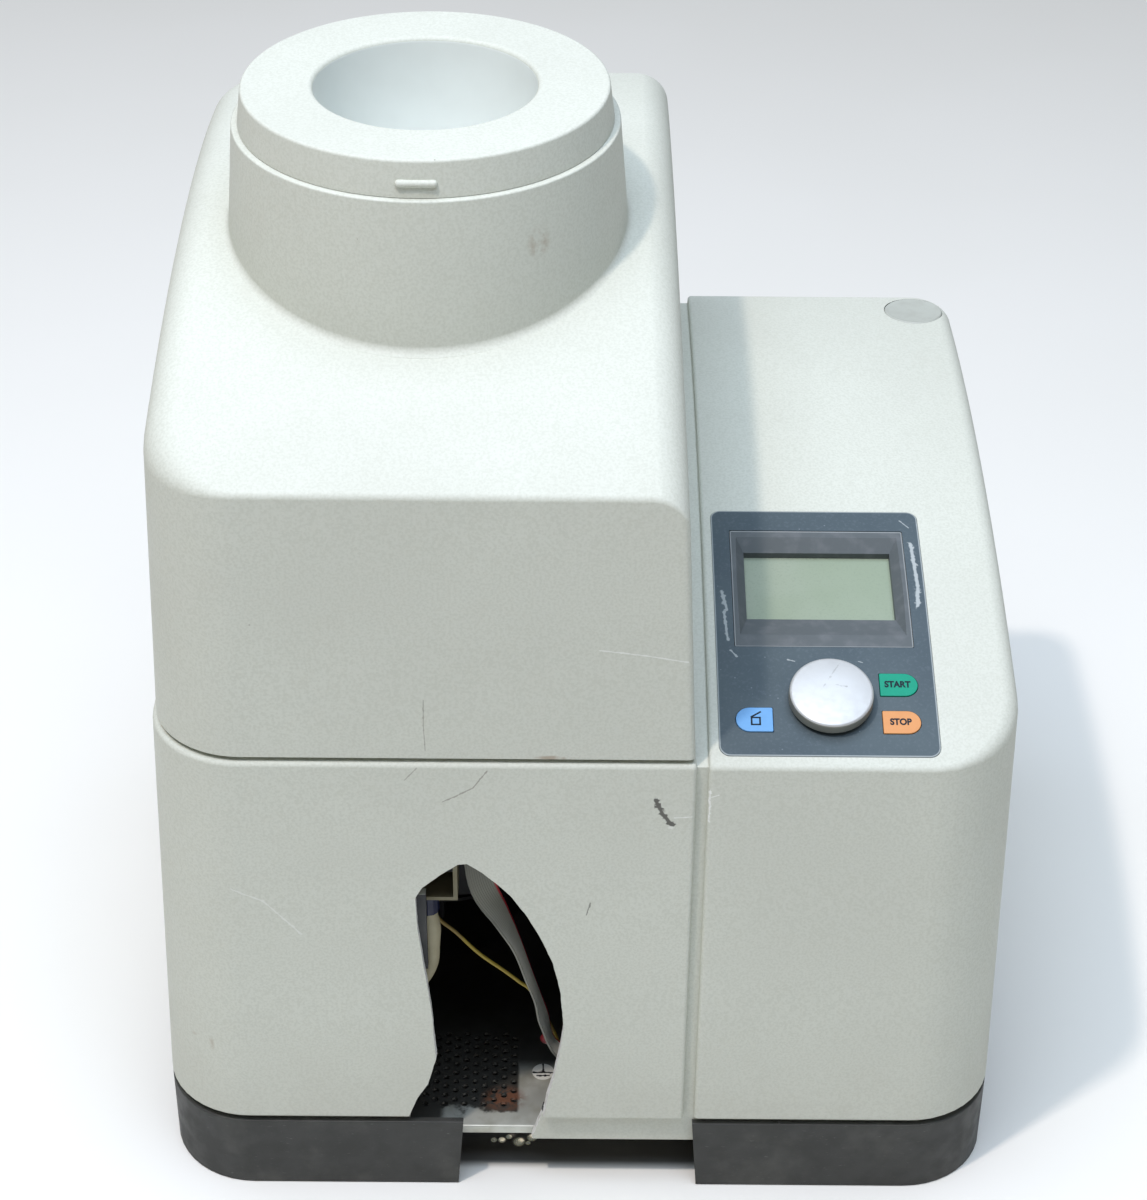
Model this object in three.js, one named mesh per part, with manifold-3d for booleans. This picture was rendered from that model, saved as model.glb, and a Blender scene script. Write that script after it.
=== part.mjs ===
// Ultra centrifugal mill for the laboratory bench, in millimetres.
// +X is to the right, +Y to the back, +Z up. The origin is on the bench, under the middle of the housing.
// The milling side is on the left, under a hood that hinges at the back.
// The electronics side is on the right, under a sloping control panel.

import * as THREE from "three";
import { mergeVertices } from "three/addons/utils/BufferGeometryUtils.js";
import Module from "manifold-3d";

const wasm = await Module();
wasm.setup();

// Driving dimensions of the whole machine
const WIDTH = 410;
const DEPTH = 365;
const HEIGHT = 515;
const GAP = 0.3;
const OVERRUN = 20;
const STITCH = 1;

// Milling axis, shared by motor, rotor, chamber and hopper
const AXIS_X = -72.4;
const AXIS_Y = -8.9;

// Lower casing: one moulding with a drafted wall, a groove between its two sides, and a lip under its face
const casing = {
  wall: 4,
  faceBottom: 46.5,
  seam: 262,
  leftDraft: 7.5,
  rightDraft: 5.8,
  frontDraft: 4.2,
  backDraft: 4.5,
  cornerRadius: 43,
  rearRightRadius: 20,
  edgeRadius: 2,
  lipBottom: 28,
  lipInset: 3.7,
  lipWall: 3,
  lipLap: 4,
  coamingHeight: 5,
  coamingWall: 2.5,
  coamingGap: 1.5,
};

const groove = { left: 51, right: 56.4, depth: 3.5, flank: 6 };

const panel = {
  frontHeight: 261.5,
  backHeight: 311,
  bulge: 20.4,
  sideRoll: 8,
  frontRoll: 1.8,
};

// Hood over the milling side
const hood = {
  wall: 4,
  seamGap: 2.6,
  setBack: 1.6,
  rightX: 50.3,
  leftLean: 7.4,
  rightLean: 8.7,
  frontLean: 2.3,
  backLean: 1.3,
  frontHeight: 401,
  backHeight: 441.4,
  bulge: 29.6,
  sideRoll: 17,
  frontRoll: 2,
  crispRadius: 3,
};

const hinge = {
  axisY: 172,
  axisZ: 256,
  pinRadius: 3,
  runningGap: 0.1,
  eyeRadius: 7,
  armWidth: 24,
  leafThickness: 4.2,
  leafTop: 300,
  earThickness: 4,
  baseThickness: 3,
  places: [-140, 5],
  pocketFront: 158,
  pocketFloor: 245,
};

const collar = { baseRadius: 92.8, topRadius: 87.4, top: 498.3, bore: 83.2, root: 432 };

const hopper = {
  footRadius: 85.1,
  topRadius: 82.6,
  topEdge: 1.4,
  mouthRadius: 50,
  mouthRound: 2.5,
  wall: 3,
  throatRadius: 17,
  throatTop: 415,
  throatBottom: 336,
  spigotDepth: 20,
  spigotWall: 3.4,
  plateThickness: 4.5,
  barLength: 18,
  barHeight: 3.2,
  barProud: 1,
  barDrop: 10,
};

// Milling chamber, from the deck up
const chamber = {
  radius: 100,
  wall: 4,
  flangeRadius: 108,
  flangeThickness: 3,
  floor: 228,
  floorThickness: 4,
  hubRadius: 22,
};

const pan = { radius: 94, wall: 1.5, top: 296, innerRadius: 55.5, innerTop: 250 };
const sieve = { radius: 54.5, wall: 1.2, rimHeight: 4, rimWall: 3, height: 38 };
const lid = { thickness: 2, rimDrop: 6, holeRadius: 30, collarHeight: 5 };
const rotor = { discThickness: 5, toothHeight: 30, teeth: 12, toothDepth: 9, toothWidth: 11, hubRadius: 14 };
const shaft = { radius: 8, bottom: 62, noseRadius: 5, noseHeight: 14 };
const seal = { thickness: 4 };

const liner = {
  thickness: 3,
  plateBottom: 268.5,
  domeRadius: 105,
  domeTop: 312,
  backY: 162,
  frontY: -166,
  sideGap: 0.6,
  tubeRadius: 24,
  tubeWall: 2,
  tubeTop: 345,
  sealRadius: 100.5,
  sealHeight: 2.6,
};

const motor = {
  radius: 62,
  bottom: 84,
  top: 205,
  endRadius: 40,
  endHeight: 8,
  bore: 30,
  bearingRadius: 16,
  bearingHeight: 10,
  finCount: 10,
  finDepth: 5,
  finWidth: 6,
};

const carrier = { radius: 88, thickness: 5, top: 215, bufferCircle: 76, bufferRadius: 9, buffers: 3 };
const fan = { radius: 48, hubRadius: 14, height: 14, blades: 8, bladeThickness: 2, plate: 2, bottom: 64 };

// Under the machine
const tray = {
  top: 33,
  sheet: 1.5,
  flangeBottom: 28.5,
  ventPitchX: 9.4,
  ventPitchY: 7.4,
  ventRadius: 2.2,
  ventRows: 3,
  ventColumns: 6,
  ventFront: -154,
  ventLeft: -112,
  airRadius: 40,
};

const foot = { topRadius: 15, bottomRadius: 19, insetX: 48, insetY: 42 };

const skirt = {
  top: 42.5,
  bottom: 0.6,
  heelTop: 26,
  heelDepth: 11,
  leftEnd: -55.5,
  rightEnd: 54.1,
  endSlant: 4,
};

// Control panel on the right side
const label = {
  left: 61.2,
  right: 160.6,
  front: -172.1,
  back: -28.8,
  corner: 5,
  thickness: 0.8,
  proud: 0.2,
};

const bezel = {
  left: 70,
  right: 152.5,
  front: -115,
  back: -41.5,
  drop: 5,
  depth: 12,
  rim: 1.5,
};

const lcd = {
  width: 69.8,
  length: 42.5,
  centreX: 111.4,
  centreShift: 5,
  recess: 3.5,
  thickness: 4,
  margin: 3,
};
const knob = {
  x: 112.3,
  y: -144,
  radius: 19.2,
  height: 7,
  crown: 1.2,
  crownShare: 0.3,
  flatShare: 0.55,
  edge: 1.6,
  gap: 2.2,
};
const encoder = { shaftRadius: 3, width: 14, floor: 1, holeRadius: 6, travel: 0.6 };

// Each key is rounded on one side: -1 is its left, 1 its right.
const lidKey = { left: 69, right: 85.8, front: -160.4, back: -147.3, roundSide: -1 };
const startKey = { left: 135.3, right: 152.7, front: -141.3, back: -128.6, roundSide: 1 };
const stopKey = { left: 135.5, right: 152.7, front: -160.9, back: -148.6, roundSide: 1 };
const keys = [
  { ...lidKey, name: "lid_key", color: 0x5c9be0 },
  { ...startKey, name: "start_key", color: 0x1ea67c },
  { ...stopKey, name: "stop_key", color: 0xf59a55 },
];
const key = { thickness: 2.2, proud: 0.5, stemRadius: 2.5, stemLength: 8 };

const board = { thickness: 1.6, drop: 16, left: 66, right: 172, front: -164, back: -42 };
const post = { radius: 3.5 };

const socket = {
  x: 177.8,
  y: 158,
  capRadius: 15.4,
  capThickness: 3,
  capPlug: 8,
  wall: 2.2,
  boreRadius: 12,
  length: 60,
};

// Electronics behind the partition
const inverter = { left: 92, right: 186, back: 140, length: 180, height: 100 };
const sink = { plate: 5, finHeight: 22, fins: 9, finThickness: 2.4 };

// Rear fittings
const rear = {
  left: 74,
  right: 178,
  bottom: 66,
  top: 196,
  sheet: 1.5,
  corner: 4,
  setBack: 2,
};

const grille = {
  left: -150,
  right: 24,
  bottom: 70,
  top: 190,
  slats: 11,
  slatShare: 0.42,
  frame: 7,
  thickness: 3,
};
const inlet = {
  x: 152,
  z: 92,
  width: 31,
  height: 24,
  corner: 5,
  depth: 24,
  cavity: 17,
  wall: 2.6,
  pin: 2,
};
const fuse = { x: 118, z: 92, width: 27, height: 13, depth: 20, face: 2 };
const rocker = { x: 118, z: 122, width: 22, height: 30, wall: 2, depth: 16, pivotDepth: 3, tilt: 12 };

// Hood lock
const lock = {
  catchWidth: 26,
  catchThickness: 3,
  catchY: -160,
  catchBottom: 234,
  windowWidth: 13,
  windowBottom: 239,
  windowTop: 252,
  slotMargin: 4,
  boltRadius: 4,
  boltLength: 34,
  boltZ: 245.5,
  travel: 12,
  driveDepth: 30,
  driveWidth: 52,
  driveHeight: 24,
};

// Wiring that the photograph shows behind the broken front
const ribbon = { width: 13, thickness: 1.2 };
const earthWire = { radius: 1.1 };
const conduit = { radius: 4.2, sleeveRadius: 5.2, sleeveLength: 13 };
const clip = { width: 12.5, thickness: 2, depth: 18 };

const material = {
  paint: { color: 0xd2d7d2, roughness: 0.62, metalness: 0 },
  rubber: { color: 0x3c3d3f, roughness: 0.75, metalness: 0 },
  galvanised: { color: 0xa4a8a2, roughness: 0.5, metalness: 0.8 },
  castAluminium: { color: 0xb4b7b8, roughness: 0.5, metalness: 0.9 },
  stainless: { color: 0xc6c8c8, roughness: 0.28, metalness: 1 },
  bearingSteel: { color: 0x9a9da0, roughness: 0.3, metalness: 1 },
  motorBlack: { color: 0x1c1d1f, roughness: 0.6, metalness: 0.1 },
  blackPlastic: { color: 0x1a1a1b, roughness: 0.5, metalness: 0 },
  film: { color: 0x44505d, roughness: 0.45, metalness: 0 },
  bezelGrey: { color: 0x4a4f57, roughness: 0.5, metalness: 0 },
  glass: { color: 0x93a08c, roughness: 0.2, metalness: 0 },
  circuit: { color: 0x1f5a3c, roughness: 0.6, metalness: 0 },
  silver: { color: 0xc9cacb, roughness: 0.35, metalness: 0.8 },
  capGrey: { color: 0xbdc0b6, roughness: 0.5, metalness: 0 },
  ribbonGrey: { color: 0xb9bcae, roughness: 0.6, metalness: 0 },
  earthGreen: { color: 0xa9a832, roughness: 0.5, metalness: 0 },
  beige: { color: 0xcfc6a8, roughness: 0.6, metalness: 0 },
  blue: { color: 0x24407f, roughness: 0.5, metalness: 0 },
};

// Solid helpers

// A closed mesh as a solid, with its shared corners merged and its faces turned outwards.
function solidOf(geometry) {
  const bare = new THREE.BufferGeometry();
  bare.setAttribute("position", geometry.getAttribute("position").clone());
  if (geometry.index) {
    bare.setIndex(geometry.index.clone());
  }
  const merged = mergeVertices(bare, 1e-4);
  const corners = Float32Array.from(merged.getAttribute("position").array);
  const triangles = withoutSlivers(Uint32Array.from(merged.index.array));
  if (signedVolume(corners, triangles) < 0) {
    turnOver(triangles);
  }
  return new wasm.Manifold(new wasm.Mesh({ numProp: 3, vertProperties: corners, triVerts: triangles }));
}

function withoutSlivers(triangles) {
  const kept = [];
  for (let i = 0; i < triangles.length; i += 3) {
    const [a, b, c] = triangles.slice(i, i + 3);
    if (a !== b && b !== c && c !== a) {
      kept.push(a, b, c);
    }
  }
  return Uint32Array.from(kept);
}

function signedVolume(corners, triangles) {
  const [a, b, c] = [new THREE.Vector3(), new THREE.Vector3(), new THREE.Vector3()];
  let volume = 0;
  for (let i = 0; i < triangles.length; i += 3) {
    a.fromArray(corners, 3 * triangles[i]);
    b.fromArray(corners, 3 * triangles[i + 1]);
    c.fromArray(corners, 3 * triangles[i + 2]);
    volume += a.dot(b.cross(c));
  }
  return volume;
}

function turnOver(triangles) {
  for (let i = 0; i < triangles.length; i += 3) {
    const second = triangles[i + 1];
    triangles[i + 1] = triangles[i + 2];
    triangles[i + 2] = second;
  }
}

function asSolid(thing) {
  return thing.isBufferGeometry ? solidOf(thing) : thing;
}

function join(first, ...others) {
  return others.reduce((sum, other) => sum.add(asSolid(other)), asSolid(first));
}

function cut(first, ...others) {
  return others.reduce((rest, other) => rest.subtract(asSolid(other)), asSolid(first));
}

function common(first, second) {
  return asSolid(first).intersect(asSolid(second));
}

function geometryOf(thing) {
  const mesh = asSolid(thing).getMesh();
  const corners = new Float32Array((mesh.vertProperties.length / mesh.numProp) * 3);
  for (let i = 0; i < corners.length / 3; i += 1) {
    corners.set(mesh.vertProperties.slice(i * mesh.numProp, i * mesh.numProp + 3), 3 * i);
  }
  const geometry = new THREE.BufferGeometry();
  geometry.setAttribute("position", new THREE.BufferAttribute(corners, 3));
  geometry.setIndex(Array.from(mesh.triVerts));
  geometry.computeVertexNormals();
  return geometry;
}

const machine = new THREE.Group();

function addPiece(name, thing, look) {
  const mesh = new THREE.Mesh(geometryOf(thing), new THREE.MeshStandardMaterial(look));
  mesh.name = name;
  machine.add(mesh);
}

// Shape helpers

function box(x0, x1, y0, y1, z0, z1) {
  const geometry = new THREE.BoxGeometry(x1 - x0, y1 - y0, z1 - z0);
  return geometry.translate((x0 + x1) / 2, (y0 + y1) / 2, (z0 + z1) / 2);
}

function cylinder(radius, z0, z1, sides = 24, topRadius = radius) {
  const geometry = new THREE.CylinderGeometry(topRadius, radius, z1 - z0, sides);
  return geometry.rotateX(Math.PI / 2).translate(0, 0, (z0 + z1) / 2);
}

// A profile of [radius, height] pairs turned about +Z. It closes on itself, or starts and ends on the axis.
function turned(profile, sides = 36) {
  const points = profile.map(([r, z]) => new THREE.Vector2(r, z));
  if (profile[0][0] > 0) {
    points.push(points[0].clone());
  }
  return new THREE.LatheGeometry(points, sides).rotateX(Math.PI / 2);
}

function onAxis(geometry) {
  return geometry.translate(AXIS_X, AXIS_Y, 0);
}

function prismZ(shape, z0, z1, curveSegments = 8) {
  const geometry = new THREE.ExtrudeGeometry(shape, { depth: z1 - z0, bevelEnabled: false, curveSegments });
  return geometry.translate(0, 0, z0);
}

// A shape drawn in Y and Z, carried along X.
function prismX(shape, x0, x1, curveSegments = 8) {
  const geometry = new THREE.ExtrudeGeometry(shape, { depth: x1 - x0, bevelEnabled: false, curveSegments });
  const turn = new THREE.Matrix4();
  turn.makeBasis(new THREE.Vector3(0, 1, 0), new THREE.Vector3(0, 0, 1), new THREE.Vector3(1, 0, 0));
  return geometry.applyMatrix4(turn).translate(x0, 0, 0);
}

// A shape drawn in X and Z, carried along Y.
function prismY(shape, y0, y1, curveSegments = 8) {
  const geometry = new THREE.ExtrudeGeometry(shape, { depth: y1 - y0, bevelEnabled: false, curveSegments });
  return geometry.rotateX(Math.PI / 2).translate(0, y1, 0);
}

function polygon(points) {
  return new THREE.Shape(points.map(([x, y]) => new THREE.Vector2(x, y)));
}

function roundedRectangle(x0, x1, y0, y1, radius) {
  const shape = new THREE.Shape();
  shape.moveTo(x0 + radius, y0);
  shape.lineTo(x1 - radius, y0);
  shape.absarc(x1 - radius, y0 + radius, radius, -Math.PI / 2, 0);
  shape.lineTo(x1, y1 - radius);
  shape.absarc(x1 - radius, y1 - radius, radius, 0, Math.PI / 2);
  shape.lineTo(x0 + radius, y1);
  shape.absarc(x0 + radius, y1 - radius, radius, Math.PI / 2, Math.PI);
  shape.lineTo(x0, y0 + radius);
  shape.absarc(x0 + radius, y0 + radius, radius, Math.PI, Math.PI * 1.5);
  return shape;
}

// The height of a top that rises from front to back with a bulge between: a parabola in the share of depth.
function archedTop(front, back, frontHeight, backHeight, bulge) {
  return (y) => {
    const t = (y - front) / (back - front);
    return frontHeight + (backHeight - frontHeight) * t + 4 * bulge * t * (1 - t);
  };
}

// Shares of the rounded ends' length at which a body form has a row of corners, close together at the walls.
const frontRowShares = [0, 0.09, 0.29, 0.62, 1];
const backRowShares = [0, 0.04, 0.15, 0.32, 0.53, 0.76, 1];
const archRows = 6;
const hollowRows = 4;

function rowsOf(front, back, endLength, middleRows) {
  const near = frontRowShares.map((share) => share * endLength);
  const middle = [];
  for (let i = 1; i < middleRows; i += 1) {
    middle.push(endLength + ((back - front - 2 * endLength) * i) / middleRows);
  }
  const far = backRowShares.map((share) => back - front - share * endLength).reverse();
  const rows = [...near, ...middle, ...far].map((d) => ({ share: d / (back - front), knee: false }));
  return [{ share: 0, knee: true }, ...rows, { share: 1, knee: true }];
}

// Where a rounded corner stands at a distance from the end wall: how far it stays behind, and its normal.
function cornerAt(distance, radius) {
  if (distance >= radius) {
    return { inset: 0, across: 1, along: 0 };
  }
  const along = (radius - distance) / radius;
  const across = Math.sqrt(Math.max(0, 1 - along * along));
  return { inset: radius * (1 - across), across, along };
}

// One side of one level of a body form, from front to back. Where the upright corner is sharper than the
// rolled top edge, the roll runs out through the end wall, and a knee in the first and last row starts it.
function sideOfLevel(form, rows, side, level) {
  return rows.map(({ share, knee }) => {
    const z = form.heightAt(share, level);
    const front = form.front(z);
    const back = form.back(z);
    const y = front + share * (back - front);
    const nearFront = y - front < back - y;
    const rightRadius = nearFront ? form.rightRadius : form.rearRightRadius ?? form.rightRadius;
    const radius = side < 0 ? form.leftRadius : rightRadius;
    const sideRoll = side < 0 ? form.leftRoll : form.rightRoll;
    const corner = cornerAt(Math.max(0, Math.min(y - front, back - y)), radius);
    const wall = side < 0 ? form.left(z) : form.right(z);
    const roll = 1 - Math.cos(level.angle);
    const crisp = radius < sideRoll;
    const across = crisp ? Number(!knee) : corner.across;
    const along = crisp && knee ? 1 : corner.along;
    const setBack = crisp && knee ? sideRoll : 0;
    const x = wall - side * (corner.inset + setBack + across * sideRoll * roll);
    const yRolled = y + (nearFront ? 1 : -1) * along * form.endRoll * roll;
    const rollHere = crisp && !knee ? sideRoll : sideRoll * across ** 2 + form.endRoll * along ** 2;
    const zRolled = level.top ? form.top(yRolled) - rollHere * (1 - Math.sin(level.angle)) : z;
    return [x, yRolled, zRolled];
  });
}

// A housing body: drafted walls, rounded upright corners, an arched top and a rolled top edge.
// Each level is a ring of corners, and the top and bottom are ladders between its two sides.
function bodyForm(form, rollSteps = 4) {
  const middleRows = form.flatTop ? 1 : form.archRows ?? archRows;
  const rows = rowsOf(form.front(form.bottom), form.back(form.bottom), form.endLength, middleRows);
  form.heightAt = (share, level) => {
    const front = form.front(form.bottom);
    const y = front + share * (form.back(form.bottom) - front);
    return level.top ? form.top(y) : form.bottom;
  };
  const levels = [{ angle: 0, top: false }, { angle: 0, top: true }];
  for (let i = 1; i <= rollSteps; i += 1) {
    levels.push({ angle: (Math.PI / 2) * (i / rollSteps), top: true });
  }
  const corners = [];
  for (const level of levels) {
    corners.push(...sideOfLevel(form, rows, -1, level).reverse(), ...sideOfLevel(form, rows, 1, level));
  }
  const ring = 2 * rows.length;
  const index = [];
  for (let l = 0; l < levels.length - 1; l += 1) {
    for (let i = 0; i < ring; i += 1) {
      const [a, b] = [l * ring + i, l * ring + ((i + 1) % ring)];
      index.push(a, b, b + ring, a, b + ring, a + ring);
    }
  }
  const last = (levels.length - 1) * ring;
  for (let i = 0; i < rows.length - 1; i += 1) {
    const [a, b] = [i, i + 1];
    const [c, d] = [ring - 1 - i, ring - 2 - i];
    index.push(last + a, last + b, last + d, last + a, last + d, last + c);
    index.push(a, d, b, a, c, d);
  }
  const geometry = new THREE.BufferGeometry();
  geometry.setAttribute("position", new THREE.Float32BufferAttribute(corners.flat(), 3));
  geometry.setIndex(index);
  return geometry;
}

// The casing's walls, which lean in as they rise.

function lean(z) {
  return (z - casing.faceBottom) / (casing.seam - casing.faceBottom);
}

function casingLeft(z) {
  return -WIDTH / 2 + casing.leftDraft * lean(z);
}

function casingRight(z) {
  return WIDTH / 2 - casing.rightDraft * lean(z);
}

function casingFront(z) {
  return -DEPTH / 2 + casing.frontDraft * lean(z);
}

function casingBack(z) {
  return DEPTH / 2 - casing.backDraft * lean(z);
}

const panelTop = archedTop(
  casingFront(casing.seam),
  casingBack(casing.seam),
  panel.frontHeight,
  panel.backHeight,
  panel.bulge,
);

function casingForm(inset, left, right, top, extra, rollSteps = inset > 0 ? 1 : 3) {
  return bodyForm({
    left,
    right,
    front: (z) => casingFront(z) + inset,
    back: (z) => casingBack(z) - inset,
    top,
    endLength: casing.cornerRadius,
    leftRoll: casing.edgeRadius,
    rightRoll: casing.edgeRadius,
    endRoll: casing.edgeRadius,
    archRows: inset > 0 ? hollowRows : archRows,
    ...extra,
  }, rollSteps);
}

function millingSide(inset, bottom) {
  return casingForm(
    inset,
    (z) => casingLeft(z) + inset,
    () => groove.left - inset,
    () => casing.seam - inset,
    { bottom, leftRadius: casing.cornerRadius - inset, rightRadius: casing.edgeRadius, flatTop: true },
  );
}

function electronicsSide(inset, bottom) {
  return casingForm(
    inset,
    () => groove.right + inset,
    (z) => casingRight(z) - inset,
    (y) => panelTop(y) - inset,
    {
      bottom,
      leftRadius: casing.edgeRadius,
      rightRadius: casing.cornerRadius - inset,
      rearRightRadius: casing.rearRightRadius - inset,
      rightRoll: inset > 0 ? casing.edgeRadius : panel.sideRoll,
      endRoll: inset > 0 ? casing.edgeRadius : panel.frontRoll,
    },
  );
}

// The web behind the groove joins the two sides, a little lower and further back than their faces.
function grooveWeb(inset, bottom) {
  const flank = inset > 0 ? groove.flank : 0;
  return casingForm(
    groove.depth + inset,
    () => groove.left + inset,
    () => groove.right + groove.flank + flank,
    (y) => panelTop(y) - groove.depth - inset,
    { bottom, leftRadius: 0, rightRadius: 0, leftRoll: 0, rightRoll: 0, endRoll: 0 },
    0,
  );
}

// Under the deck, the web's hollow runs on into the milling side.
function grooveHollow(bottom) {
  const inset = groove.depth + casing.wall;
  return box(
    groove.left - 2 * casing.wall,
    groove.right + groove.flank + casing.wall,
    casingFront(casing.seam) + inset,
    casingBack(casing.seam) - inset,
    bottom,
    casing.seam - 2 * casing.wall,
  );
}

function lipForm(inset, bottom, top) {
  return bodyForm({
    left: () => -WIDTH / 2 + inset,
    right: () => WIDTH / 2 - inset,
    front: () => -DEPTH / 2 + inset,
    back: () => DEPTH / 2 - inset,
    top: () => top,
    bottom,
    leftRadius: casing.cornerRadius - inset,
    rightRadius: casing.cornerRadius - inset,
    rearRightRadius: casing.rearRightRadius - inset,
    endLength: casing.cornerRadius,
    leftRoll: 0,
    rightRoll: 0,
    endRoll: 0,
    flatTop: true,
  }, 0);
}

// A rib on the inner face of the front, whose edge shows beside the hole.
const rib = { left: -86, right: -72.3, front: -176, back: -171.5, bottom: 138, top: 184 };

// The hole that was broken out of the front, in X and Z.
const brokenEdge = { left: -85, right: -7.9, top: 205.4 };
// Shares of the hole's width and height, from its top down the right side and back up the left.
const brokenShares = [
  [0.42, 1], [0.502, 0.974], [0.59, 0.938], [0.678, 0.895], [0.768, 0.831], [0.857, 0.753],
  [0.93, 0.667], [0.979, 0.562], [1, 0.436], [0.97, 0.344], [0.933, 0.251], [0.89, 0.175],
  [0.857, 0.094], [0.8, 0.013], [0.78, -0.08], [0.05, -0.08], [0.02, 0.06], [0.028, 0.094],
  [0.084, 0.168], [0.152, 0.225], [0.208, 0.317], [0.193, 0.409], [0.18, 0.501], [0.161, 0.592],
  [0.135, 0.682], [0.112, 0.787], [0.106, 0.885], [0.144, 0.919], [0.265, 0.966], [0.367, 0.999],
];

function brokenHole() {
  const width = brokenEdge.right - brokenEdge.left;
  const height = brokenEdge.top - casing.lipBottom;
  const points = brokenShares.map(([u, v]) => [brokenEdge.left + u * width, casing.lipBottom + v * height]);
  const front = -DEPTH / 2;
  return prismY(polygon(points), front - OVERRUN, front + OVERRUN);
}

// A place on the control panel: its height, and the angle at which the panel rises there.
function panelFrame(x, y) {
  const slope = (panelTop(y + STITCH) - panelTop(y - STITCH)) / (2 * STITCH);
  const place = new THREE.Matrix4().makeTranslation(x, y, panelTop(y));
  return place.multiply(new THREE.Matrix4().makeRotationX(Math.atan(slope)));
}

// A layer that follows the panel's arch, from one depth under its surface to another.
function panelLayer(low, high) {
  const steps = 12;
  const from = label.front - OVERRUN / 4;
  const to = label.back + OVERRUN / 2;
  const edge = [];
  for (let i = 0; i <= steps; i += 1) {
    const y = from + ((to - from) * i) / steps;
    edge.push([y, panelTop(y)]);
  }
  const lower = edge.map(([y, z]) => [y, z + low]);
  const upper = edge.map(([y, z]) => [y, z + high]).reverse();
  return prismX(polygon([...lower, ...upper]), label.left - OVERRUN / 5, label.right + OVERRUN);
}

function labelOutline(margin) {
  const [x0, x1] = [label.left - margin, label.right + margin];
  return roundedRectangle(x0, x1, label.front - margin, label.back + margin, label.corner + margin);
}

function keyOutline(spec, margin) {
  const low = spec.front - margin;
  const high = spec.back + margin;
  const radius = (high - low) / 2;
  const shape = new THREE.Shape();
  const flat = (spec.roundSide > 0 ? spec.left : spec.right) - spec.roundSide * margin;
  const centre = (spec.roundSide > 0 ? spec.right : spec.left) + spec.roundSide * (margin - radius);
  shape.moveTo(flat, low);
  shape.lineTo(centre, low);
  shape.absarc(centre, (low + high) / 2, radius, -Math.PI / 2, Math.PI / 2, spec.roundSide < 0);
  shape.lineTo(flat, high);
  return shape;
}

function keyCentre(spec) {
  return [(spec.left + spec.right) / 2, (spec.front + spec.back) / 2];
}

// A key's outline about its own centre, for building in the panel's tilted frame.
function localKeyOutline(spec, margin) {
  const [x, y] = keyCentre(spec);
  const across = { left: spec.left - x, right: spec.right - x };
  const along = { front: spec.front - y, back: spec.back - y };
  return keyOutline({ ...spec, ...across, ...along }, margin);
}

function keyHole(spec, margin) {
  const [x, y] = keyCentre(spec);
  const hole = prismZ(localKeyOutline(spec, margin), -casing.wall - OVERRUN / 4, OVERRUN / 4, 6);
  return hole.applyMatrix4(panelFrame(x, y));
}

function bezelBlock(margin, low, high) {
  const [x, y] = [(bezel.left + bezel.right) / 2, (bezel.front + bezel.back) / 2];
  const halfX = (bezel.right - bezel.left) / 2 + margin;
  const halfY = (bezel.back - bezel.front) / 2 + margin;
  return box(-halfX, halfX, -halfY, halfY, low, high).applyMatrix4(panelFrame(x, y));
}

function knobHole(radius) {
  return cylinder(radius, -casing.wall - OVERRUN, OVERRUN / 4, 24).applyMatrix4(panelFrame(knob.x, knob.y));
}

function socketPart(radius, low, high, sides = 40) {
  return cylinder(radius, low, high, sides).applyMatrix4(panelFrame(socket.x, socket.y));
}

function hingePocket(x) {
  const half = hinge.armWidth / 2 + hinge.earThickness + 2 * GAP;
  const [y0, y1] = [hinge.pocketFront, DEPTH / 2 + OVERRUN];
  return box(x - half, x + half, y0, y1, hinge.pocketFloor, casing.seam + OVERRUN);
}

function hingePocketWall(x) {
  const half = hinge.armWidth / 2 + hinge.earThickness + 2 * GAP + casing.wall;
  const front = hinge.pocketFront - casing.wall;
  const back = casingBack(casing.seam) - casing.wall / 2;
  return box(x - half, x + half, front, back, hinge.pocketFloor - casing.wall, casing.seam - casing.wall / 2);
}

function lockSlot() {
  const half = lock.catchWidth / 2 + lock.slotMargin;
  const front = lock.catchY - lock.catchThickness - lock.slotMargin;
  const back = lock.catchY + lock.slotMargin;
  return box(AXIS_X - half, AXIS_X + half, front, back, casing.seam - OVERRUN, casing.seam + OVERRUN);
}

function rearOpening(spec, margin) {
  const [x0, x1] = [spec.left - margin, spec.right + margin];
  const outline = roundedRectangle(x0, x1, spec.bottom - margin, spec.top + margin, rear.corner + margin);
  return prismY(outline, DEPTH / 2 - OVERRUN, DEPTH / 2 + OVERRUN, 4);
}

// An upstand on the deck runs round inside the hood's wall and closes the seam to dust.
function coaming() {
  const outer = hood.setBack + hood.wall + casing.coamingGap;
  const form = (inset, bottom, top) => bodyForm({
    left: () => casingLeft(casing.seam) + inset,
    right: () => hood.rightX - inset,
    front: () => casingFront(casing.seam) + inset,
    back: () => casingBack(casing.seam) - inset,
    top: () => top,
    bottom,
    leftRadius: casing.cornerRadius - inset,
    rightRadius: hood.crispRadius,
    endLength: casing.cornerRadius,
    leftRoll: 0,
    rightRoll: 0,
    endRoll: 0,
    flatTop: true,
  }, 0);
  const top = casing.seam + casing.coamingHeight;
  const low = casing.seam - casing.wall / 2;
  return cut(form(outer, low, top), form(outer + casing.coamingWall, low - OVERRUN, top + OVERRUN));
}

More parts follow.
